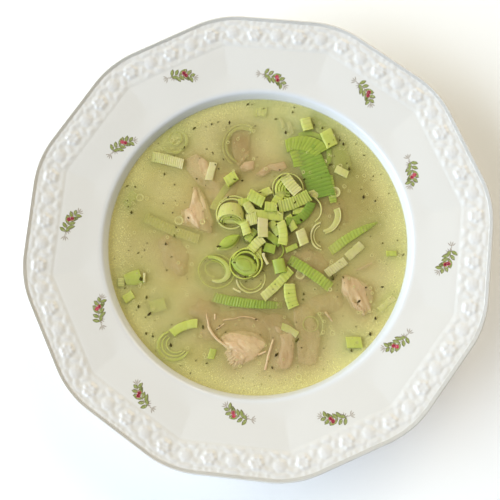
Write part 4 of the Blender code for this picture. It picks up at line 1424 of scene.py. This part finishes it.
# Frayed ends: from one point of a piece's edge to another, the fibres' direction, and how many stick out.
FRAYED = (
    ((-9.0, -54.6), (-5.6, -61.0), 222, 9), ((-4.4, -61.0), (0.0, -59.0), 244, 4),
    ((51.0, -25.6), (57.0, -29.4), -68, 5),
)
for start, end, heading, count in FRAYED:
    for number in range(count):
        share = (number + 0.5) / count
        x, y = (a + (b - a) * share for a, b in zip(start, end))
        long = 3.4 + 0.9 * math.sin(3.0 * number)
        turn, bow = heading + 7 * math.sin(5.0 * number), 10 * math.sin(4.0 * number)
        SHREDS.append(shred((x, y, -0.7), long, 1.3, 1.0, turn, bow, taper_end=0.5, pitch=-9))
shreds_mesh = marked(marked(joined("chicken_shreds", SHREDS), "fibre", 1.0), "dull", 0.15)
food.append(piece("chicken_shreds", shreds_mesh, (), MEAT))
print(len(SUNK_MEAT) + len(SUNK_LEEK), "pieces under the surface,", len(SHREDS), "shreds")

# %% [markdown]
# ## The broth
#
# Cloudy broth scatters light, which a volume would show best. A volume is slow and is lost when the model
# is used elsewhere. So the broth is two pieces. A solid body starts a few millimetres down, with clouds of
# grey, yellow and brown. Over it lies a thin wet skin that lets most of the light through, and nearly all
# of it over food that is just awash. The liquid climbs the wall and whatever floats in it: the tree lifts
# the skin there by how near the food is. It also notes how near chicken and leek are, because both tint
# the liquid round them. Both pieces reach just into the porcelain, so that no gap shows.


# %% Broth's trees
SKIN_COLUMNS = 420
SKIN_ROWS = 150
SKIN_THICKNESS = 0.0006
WALL_OVERLAP = 0.00015
CLIMB = 0.00045
# How high the liquid climbs food, and how far out from the wall it climbs, against the rest.
FOOD_SHARE, WALL_SHARE = 0.6, 1.6
surface_radius = WELL_RADIUS + WALL_OVERLAP


def nearness(tree, shape, reach):
    """1 on the shape and falling to 0 over a few times the reach."""
    near = put(tree, "GeometryNodeProximity", {0: shape_in(tree, shape)}, target_element="FACES")
    return (out(near, "Distance") * -1 / reach).math("EXPONENT")


def full_circle(radius, corner, turn):
    return radius


def broth_tree():
    """The broth's skin, or with no climb its body."""
    inputs = dict(Columns=SKIN_COLUMNS, Rows=10, Meat=None, Leek=None, Climb=CLIMB)
    tree, given = new_tree("broth", Reach=0.0006, Tint_reach=0.005, **inputs)
    geometry = bent_grid(tree, given, full_circle)
    for label, shape in (("near_meat", given["Meat"]), ("near_leek", given["Leek"])):
        geometry = store(tree, geometry, label, nearness(tree, shape, given["Tint_reach"]))
    x, y, z = here(tree)
    to_wall = (surface_radius - length_of(x, y)).math("MAXIMUM", 0)
    is_top = z.math("GREATER_THAN", LEVEL - SKIN_THICKNESS / 2)
    by_meat, by_leek = (nearness(tree, given[key], given["Reach"]) for key in ("Meat", "Leek"))
    by_food = by_meat.math("MAXIMUM", by_leek)
    by_wall = (to_wall * -1 / (given["Reach"] * WALL_SHARE)).math("EXPONENT")
    lifted = z + (by_food * FOOD_SHARE).math("MAXIMUM", by_wall) * given["Climb"] * is_top
    return end_tree(tree, moved(tree, geometry, vector(tree, x, y, lifted)))


# %% Broth materials
# Fat specks to the metre, how solid the skin is, and how much less so over food.
FAT_SPECKS = 1100.0
SKIN_ALPHA, CLEARER_OVER_FOOD = 0.34, 0.24


def tinted_broth(tree):
    """The broth's own colour, brownish by chicken and greenish by leek."""
    colour = blend(tree, attribute(tree, "near_meat") * 0.75, local_broth(tree), paint(190, 157, 102))
    colour = blend(tree, attribute(tree, "near_leek") * 0.5, colour, paint(156, 166, 76))
    mottled = grain(tree, object_point(tree), 0.0022, 4.0, 0.7)
    return blend(tree, (mottled - 0.35).clamped() * 0.5, colour, paint(226, 218, 140))


def skin_material():
    material, tree, shader = shader_of("broth_surface")
    point = object_point(tree)
    x, y, _ = parts_of(point)
    radius = length_of(x, y)
    fat = put(tree, "ShaderNodeTexVoronoi", {"Vector": point, "Scale": FAT_SPECKS})
    many = grain(tree, point, 0.008).smooth(0.4, 0.6) * 0.35 + radius.smooth(0.060, 0.073) * 0.75
    speck = (1 - out(fat).smooth(0.1, 0.35)) * many.clamped()
    over_food = attribute(tree, "near_meat").math("MAXIMUM", attribute(tree, "near_leek"))
    alpha = speck * 0.4 + SKIN_ALPHA - over_food.math("POWER", 3) * CLEARER_OVER_FOOD
    colour = blend(tree, speck, tinted_broth(tree), paint(238, 232, 160))
    dress(shader, {"Base Color": colour, "Roughness": 0.06, "Alpha": alpha})
    bump(tree, shader, grain(tree, point, 0.004, 2.0), 0.00005)
    return material


def body_material():
    material, tree, shader = shader_of("broth_body")
    dress(shader, {"Base Color": tinted_broth(tree), "Roughness": 0.6})
    bump(tree, shader, grain(tree, object_point(tree), 0.01), 0.0004)
    return material


# %% Broth
def shape_of(name, pieces):
    """A mould that joins copies of finished pieces, for the trees to measure from."""
    return carried(name, joined(name, [obj.data.copy() for obj in pieces]))


def broth_mesh(name, levels, **settings):
    """The tree's mesh from levels, each a radius and a height, with the inputs that are set."""
    start = plain_mesh(name, [(radius, 0, height) for radius, height in levels])
    return facing_out(grown(name, BROTH_TREE, start, Rows=len(levels), **settings, **moulds))


BROTH_TREE = broth_tree()
meat_shape = shape_of("meat_shape", [obj for obj in food if obj.data.materials[0] == MEAT])
leek_shape = shape_of("leek_shape", [obj for obj in food if obj.data.materials[0] == LEEK])
moulds = dict(Meat=meat_shape, Leek=leek_shape)
rows = [(surface_radius * step / SKIN_ROWS, LEVEL) for step in range(SKIN_ROWS + 1)]
rows += [(surface_radius, LEVEL - SKIN_THICKNESS), (0, LEVEL - SKIN_THICKNESS)]
skin = piece("broth_surface", broth_mesh("broth_surface", rows), ("broth",), skin_material())

# The body lies a few millimetres down, and rises to just under the skin at the wall.
BODY_DEPTH, EDGE_DEPTH, EDGE_START, BODY_ROWS = 0.0036, 0.0007, 0.060, 60
inside = (FLOOR_RADIUS, WELL_HEIGHT)
radii = (WELL_RADIUS - FLOOR_RADIUS + WALL_OVERLAP, WELL_HEIGHT - FLOOR_HEIGHT + WALL_OVERLAP)
turn_at_top = math.degrees(math.acos((WELL_HEIGHT - LEVEL + EDGE_DEPTH) / radii[1]))
well = [(radius, height) for radius, height, _ in arc(inside, radii, turn_at_top, 0, 12)]
rows = []
for step in range(BODY_ROWS):
    radius = well[0][0] * step / BODY_ROWS
    share = max(0.0, (radius - EDGE_START) / (well[0][0] - EDGE_START))
    rise = (BODY_DEPTH - EDGE_DEPTH) * share * share * (3 - 2 * share)
    rows.append((radius, LEVEL - BODY_DEPTH + rise))
rows += well + [(0, well[-1][1])]
body_mesh = broth_mesh("broth_body", rows, Columns=180, Climb=0.0, Tint_reach=0.004)
piece("broth_body", body_mesh, ("broth",), body_material())

# %% [markdown]
# ## Pepper, herbs and droplets of fat
#
# Ground pepper and herbs lie scattered on the liquid and on the food, with a few larger grains, and
# droplets of fat float between, more of them towards the wall. One tree scatters all three. It spreads
# random points on a disc, thins them out towards the middle, adds the larger ones that are listed, lets
# each fall straight down onto whatever is below it, and puts a shape there.


# %% Scatter tree
SPREAD = dict(Radius=0.074, Density=20000.0, Seed=1, Smallest=0.0002, Largest=0.0006, Middle_share=1.0)
# Most grains are small: the power of their spread. The middle is thinned out between these two shares of
# the radius.
SMALLER = 2.5
THIN_FROM, THIN_TO = 0.55, 0.98


def scatter_tree():
    tree, given = new_tree("scatter", **SPREAD, Tumble=1.0, Sink=0.0, Shape=None, Ground=None)
    disc = put(tree, "GeometryNodeMeshCircle", {0: 64, "Radius": given["Radius"]}, fill_type="NGON")
    at = {"Mesh": out(disc), "Density": given["Density"], "Seed": given["Seed"]}
    spread = put(tree, "GeometryNodeDistributePointsOnFaces", at, distribute_method="RANDOM")
    x, y, _ = here(tree)

    def random(low, high, extra):
        node = put(tree, "FunctionNodeRandomValue", data_type="FLOAT")
        for key, value in (("Min", low), ("Max", high), ("Seed", given["Seed"] + extra)):
            feed(live(node.inputs, key), value)
        return Flow(live(node.outputs, "Value"))

    share = random(0.0, 1.0, 1)
    size = given["Smallest"] + (given["Largest"] - given["Smallest"]) * share.math("POWER", SMALLER)
    sized = moved(tree, out(spread, "Points"), vector(tree, x, y, size))
    outward = length_of(x, y).smooth(given["Radius"] * THIN_FROM, given["Radius"] * THIN_TO)
    keep = given["Middle_share"] + (1 - given["Middle_share"]) * outward
    at = {"Geometry": sized, "Selection": random(0.0, 1.0, 2).math("GREATER_THAN", keep)}
    thinned = put(tree, "GeometryNodeDeleteGeometry", at, domain="POINT")
    by_hand = put(tree, "GeometryNodeMeshToPoints", {"Mesh": given["Geometry"]})
    both = put(tree, "GeometryNodeJoinGeometry", {0: out(by_hand)})
    feed(both.inputs[0], out(thinned))
    x, y, size = here(tree)
    points = store(tree, out(both), "size", size)
    _, height = dropped(tree, x, y, RIM_HEIGHT, given["Ground"])
    own_size = recall(tree, "size")
    fallen = moved(tree, points, vector(tree, x, y, height - own_size * given["Sink"]))
    turns = [random(-math.pi, math.pi, number) for number in (3, 4, 5)]
    turns[:2] = [turn * given["Tumble"] for turn in turns[:2]]
    at = {"Points": fallen, "Instance": shape_in(tree, given["Shape"]), "Rotation": vector(tree, *turns)}
    at["Scale"] = vector(tree, own_size, own_size, own_size)
    return end_tree(tree, out(put(tree, "GeometryNodeInstanceOnPoints", at)))


SCATTER_TREE = scatter_tree()


def spots(name, places):
    """Points at x and y in mm, with each one's radius in mm as its height."""
    return plain_mesh(name, [Vector(place) * MM for place in places])


# %% Pepper
def crumb(name, seed, stretch):
    """An irregular grain of radius one."""
    bm = bmesh.new()
    bmesh.ops.create_icosphere(bm, subdivisions=1, radius=1)
    for vert in bm.verts:
        vert.co *= 1 + 0.7 * noise.noise(vert.co * 1.3 + Vector((seed, 0, 0)))
        vert.co = Vector((vert.co.x * stretch, vert.co.y, vert.co.z * 0.6))
    return carried(name, baked(name, bm))


def pepper_material():
    material, tree, shader = shader_of("pepper")
    point = object_point(tree)
    colour = blend(tree, grain(tree, point, 0.004).smooth(0.4, 0.6), paint(58, 46, 16), paint(92, 86, 32))
    dress(shader, {"Base Color": colour, "Roughness": grain(tree, point, 0.001) * 0.2 + 0.7})
    dress(shader, {"Specular IOR Level": 0.15})
    return material


# Each large grain: its place and radius in mm.
LARGE_GRAINS = [
    (-65.5, 10, 0.9), (-51, 31.5, 0.7), (-29.5, 60, 0.7), (-46, -4.5, 0.8), (9, 59, 0.9), (27.5, 63, 0.7),
    (11.5, 70, 0.6), (37, 57.5, 0.6), (39, 55.5, 0.8), (43, 43, 0.9), (51.5, 29, 0.9), (57.5, 27.5, 0.6),
    (-56.5, -23.5, 1.1), (-52.5, -32.5, 0.8), (-56, -37.5, 0.9), (-50.5, -50.5, 0.7), (-47, -51.5, 0.7),
    (-37.5, -55, 1.0), (39.5, -13.5, 1.3), (62.5, -31.5, 0.8), (52, -48.5, 0.7), (60.5, -39.5, 0.9),
    (26, -23, 0.7), (-4, -17, 0.9),
]
ground = shape_of("ground", [skin, *food])
crumbs = [crumb("crumb", 1.0, 1.2), crumb("flake", 4.0, 1.9)]
GRAINS = dict(Density=15000.0, Seed=3, Smallest=0.00014, Largest=0.00055, Middle_share=0.7, Ground=ground)
FLAKES = dict(Density=5000.0, Seed=8, Smallest=0.0002, Largest=0.0007, Tumble=0.15, Ground=ground)
grains = grown("grains", SCATTER_TREE, spots("large", LARGE_GRAINS), Shape=crumbs[0], **GRAINS)
flakes = grown("flakes", SCATTER_TREE, spots("none", []), Shape=crumbs[1], **FLAKES)
pepper_mesh = joined("pepper", [grains, flakes])
piece("pepper", facing_out(pepper_mesh), (), pepper_material(), sharp=80)

# %% Fat
# Each large droplet: its place and radius in mm.
LARGE_DROPLETS = [
    (-40.5, 8, 2.3), (-62, 18, 2.0), (-58.5, 18, 1.0), (-36.5, 59, 1.4), (-49, 49.5, 1.3),
    (30.5, 45.5, 1.1), (38.5, 44, 1.0), (37, 30, 2.8), (41.5, 33.5, 1.0), (39, -19.5, 1.0),
    (23.5, -13.5, 2.4), (-28.5, 8.5, 1.4), (-67, -15, 1.5), (42, -41, 1.3), (37.5, -41, 1.0),
    (27.5, -64, 1.5), (27, 27.5, 1.8),
]
DROPLET_SIDES = 14
# Each ring of a droplet: its radius and height, and 1 where the rim's painted highlight goes.
DROPLET_RINGS = ((0.0, 0.02, 0), (0.84, 0.03, 0), (0.93, 0.12, 1), (1.0, 0.0, 1), (0.0, -0.1, 0))


def droplet_mesh():
    """A flat round droplet of radius one, with a raised rim that carries a painted highlight."""
    verts, glint_flags, faces = [], [], []
    for radius, height, rim in DROPLET_RINGS:
        count = DROPLET_SIDES if radius else 1
        for side in range(count):
            turn = 2 * math.pi * side / DROPLET_SIDES
            verts.append((radius * math.cos(turn), radius * math.sin(turn), height))
            glint_flags.append(rim)
    last = len(verts) - 1
    for side in range(DROPLET_SIDES):
        following = (side + 1) % DROPLET_SIDES
        faces.append((0, 1 + side, 1 + following))
        for ring_number in range(2):
            low, high = 1 + ring_number * DROPLET_SIDES, 1 + (ring_number + 1) * DROPLET_SIDES
            faces.append((low + side, high + side, high + following, low + following))
        outer = 1 + 2 * DROPLET_SIDES
        faces.append((outer + side, last, outer + following))
    mesh = plain_mesh("droplet", verts, faces)
    glint_values = mesh.attributes.new("rim", "FLOAT", "POINT")
    glint_values.data.foreach_set("value", [float(rim) for rim in glint_flags])
    return mesh


def fat_material():
    material, tree, shader = shader_of("fat")
    # Painted highlight: the rim is painted paler and more solid than the middle, for the light its edge
    # catches.
    rim = attribute(tree, "rim").smooth(0.2, 0.9)
    colour = blend(tree, rim, paint(214, 204, 126), paint(240, 232, 164))
    dress(shader, {"Base Color": colour, "Roughness": 0.08, "Alpha": rim * 0.5 + 0.1})
    return material


droplet = carried("droplet", droplet_mesh())
DROPLETS = dict(Density=90000.0, Seed=21, Smallest=0.00015, Largest=0.0009, Middle_share=0.3, Tumble=0.0)
droplets = spots("large", LARGE_DROPLETS)
fat_mesh = grown("fat", SCATTER_TREE, droplets, Shape=droplet, Ground=ground, **DROPLETS)
piece("fat_droplets", facing_out(fat_mesh), (), fat_material())

# %% [markdown]
# ## Printed sprigs
#
# A small sprig is printed on each of the twelve panels and fired under a clear glaze. Printing would be an
# image texture, but here each is a very thin layer of enamel: dark-edged pointed leaves, two berries and
# fine twigs, made once. A tree puts one on each panel, by turns further in and further out, and drops every
# point of it straight down onto the porcelain.


# %% Sprig
def blade(bm, ink, spot, length, width, turn, colour, rise=0.03):
    """A flat pointed leaf, or a stroke if it is narrow. Sizes in mm."""
    steps = 6
    outline = []
    for side in (1, -1):
        for step in range(steps):
            share = step / steps if side > 0 else 1 - step / steps
            half_width = width / 2 * math.sin(math.pi * share) ** 0.8
            outline.append(Vector(((share - 0.5) * length, side * half_width, 0)))
    place = Matrix.Translation(Vector((*spot, 0))) @ Matrix.Rotation(math.radians(turn), 4, "Z")
    top = [bm.verts.new(place @ point + Vector((0, 0, rise))) for point in outline]
    bottom = [bm.verts.new(place @ point) for point in outline]
    for vert in top + bottom:
        vert[ink] = colour
    bm.faces.new(top)
    bm.faces.new(bottom[::-1])
    for number in range(len(top)):
        after = (number + 1) % len(top)
        bm.faces.new((top[number], bottom[number], bottom[after], top[after]))


LEAF_INK, BERRY_INK, TWIG_INK, DARK_INK = 0.0, 1.0, 0.5, 0.25


def sprig_mesh():
    """A bent twig with pairs of dark-edged leaves, feathery side twigs, and two berries off its middle."""
    bm = bmesh.new()
    ink = bm.verts.layers.float.new("ink")

    def along_twig(share):
        return Vector((share * 7.4, 1.0 - 1.8 * share * share)), math.degrees(math.atan2(-3.6 * share, 7.4))

    def reach(heading, length):
        return Vector((math.cos(math.radians(heading)), math.sin(math.radians(heading)))) * length

    for step in range(-4, 5):
        spot, turn = along_twig(step / 4.5)
        blade(bm, ink, spot, 2.0, 0.4, turn, TWIG_INK)
    for number, share in enumerate((-0.66, -0.4, -0.14, 0.12, 0.38, 0.62)):
        spot, turn = along_twig(share)
        for side in (1, -1):
            heading = turn + side * (48 + 14 * math.sin(2.0 * number + side))
            length = 4.4 - 1.8 * abs(share + 0.1) + 0.5 * math.sin(3.0 * number + side)
            blade(bm, ink, spot + reach(heading, length / 2), length, 1.9, heading, DARK_INK)
            blade(
                bm, ink, spot + reach(heading + 4, length / 2), length * 0.85, 1.35, heading + 4,
                LEAF_INK, 0.06
            )
    for share, outward in ((-0.9, 180), (0.86, 0), (0.5, 70), (-0.5, 240)):
        spot, turn = along_twig(share)
        for spread in (-44, -14, 14, 44):
            heading = outward + turn + spread
            blade(bm, ink, spot + reach(heading, 1.6), 2.4, 0.5, heading, TWIG_INK)
    for x, y in ((1.4, 1.9), (2.5, 0.7)):
        for turn in (0, 60, 120):
            blade(bm, ink, (x, y), 2.3, 1.3, turn, BERRY_INK, 0.09)
    for vert in bm.verts:
        vert.co *= MM
    return baked("sprig", bm)


SPRIG_OUT, SPRIG_IN, SPRIG_TILT = 0.0935, 0.0845, -22.0


def sprigs_tree():
    places = dict(Count=SIDES, Out=SPRIG_OUT, In=SPRIG_IN, Tilt=SPRIG_TILT)
    tree, given = new_tree("sprigs", Shape=None, Ground=None, **places)
    points = put(tree, "GeometryNodePoints", {"Count": given["Count"]})
    number = out(put(tree, "GeometryNodeInputIndex"))
    turn = number * (2 * math.pi) / given["Count"]
    even = 1 - number.math("FLOORED_MODULO", 2)
    radius = given["In"] + (given["Out"] - given["In"]) * even
    place = round_place(tree, radius, turn)
    facing = turn - math.pi / 2 + given["Tilt"] * (math.pi / 180)
    at = {"Points": moved(tree, out(points), place), "Instance": shape_in(tree, given["Shape"])}
    stamped = put(tree, "GeometryNodeInstanceOnPoints", {**at, "Rotation": vector(tree, 0, 0, facing)})
    real = out(put(tree, "GeometryNodeRealizeInstances", {0: out(stamped)}))
    x, y, z = here(tree)
    _, height = dropped(tree, x, y, RIM_HEIGHT, given["Ground"])
    return end_tree(tree, moved(tree, real, vector(tree, x, y, height + z)))


def enamel_material():
    material, tree, shader = shader_of("enamel_print")
    ink = attribute(tree, "ink")
    point = object_point(tree)
    colour = blend(tree, ink * 4, paint(144, 152, 84), paint(116, 108, 76))
    colour = blend(tree, ink * 4 - 1, colour, paint(170, 158, 144))
    colour = blend(tree, ink * 2 - 1, colour, paint(196, 70, 92))
    colour = blend(
        tree, grain(tree, point, 0.0006, 2.0).smooth(0.5, 0.75) * 0.45, colour, paint(222, 218, 204)
    )
    dress(shader, {"Base Color": colour, "Roughness": grain(tree, point, 0.002) * 0.1 + 0.12})
    return material


sprig = carried("sprig", sprig_mesh())
sprigs_mesh = grown("sprigs", sprigs_tree(), Shape=sprig, Ground=plate)
piece("sprigs", facing_out(sprigs_mesh), (), enamel_material())

# %% [markdown]
# ## Clearing up
#
# The helpers that were only moulds are removed.

# %% Finish
for helper in (stamps, meat_shape, leek_shape, ground, droplet, sprig, *crumbs, *MOTIFS.values()):
    bpy.data.objects.remove(helper, do_unlink=True)
bpy.context.view_layer.update()
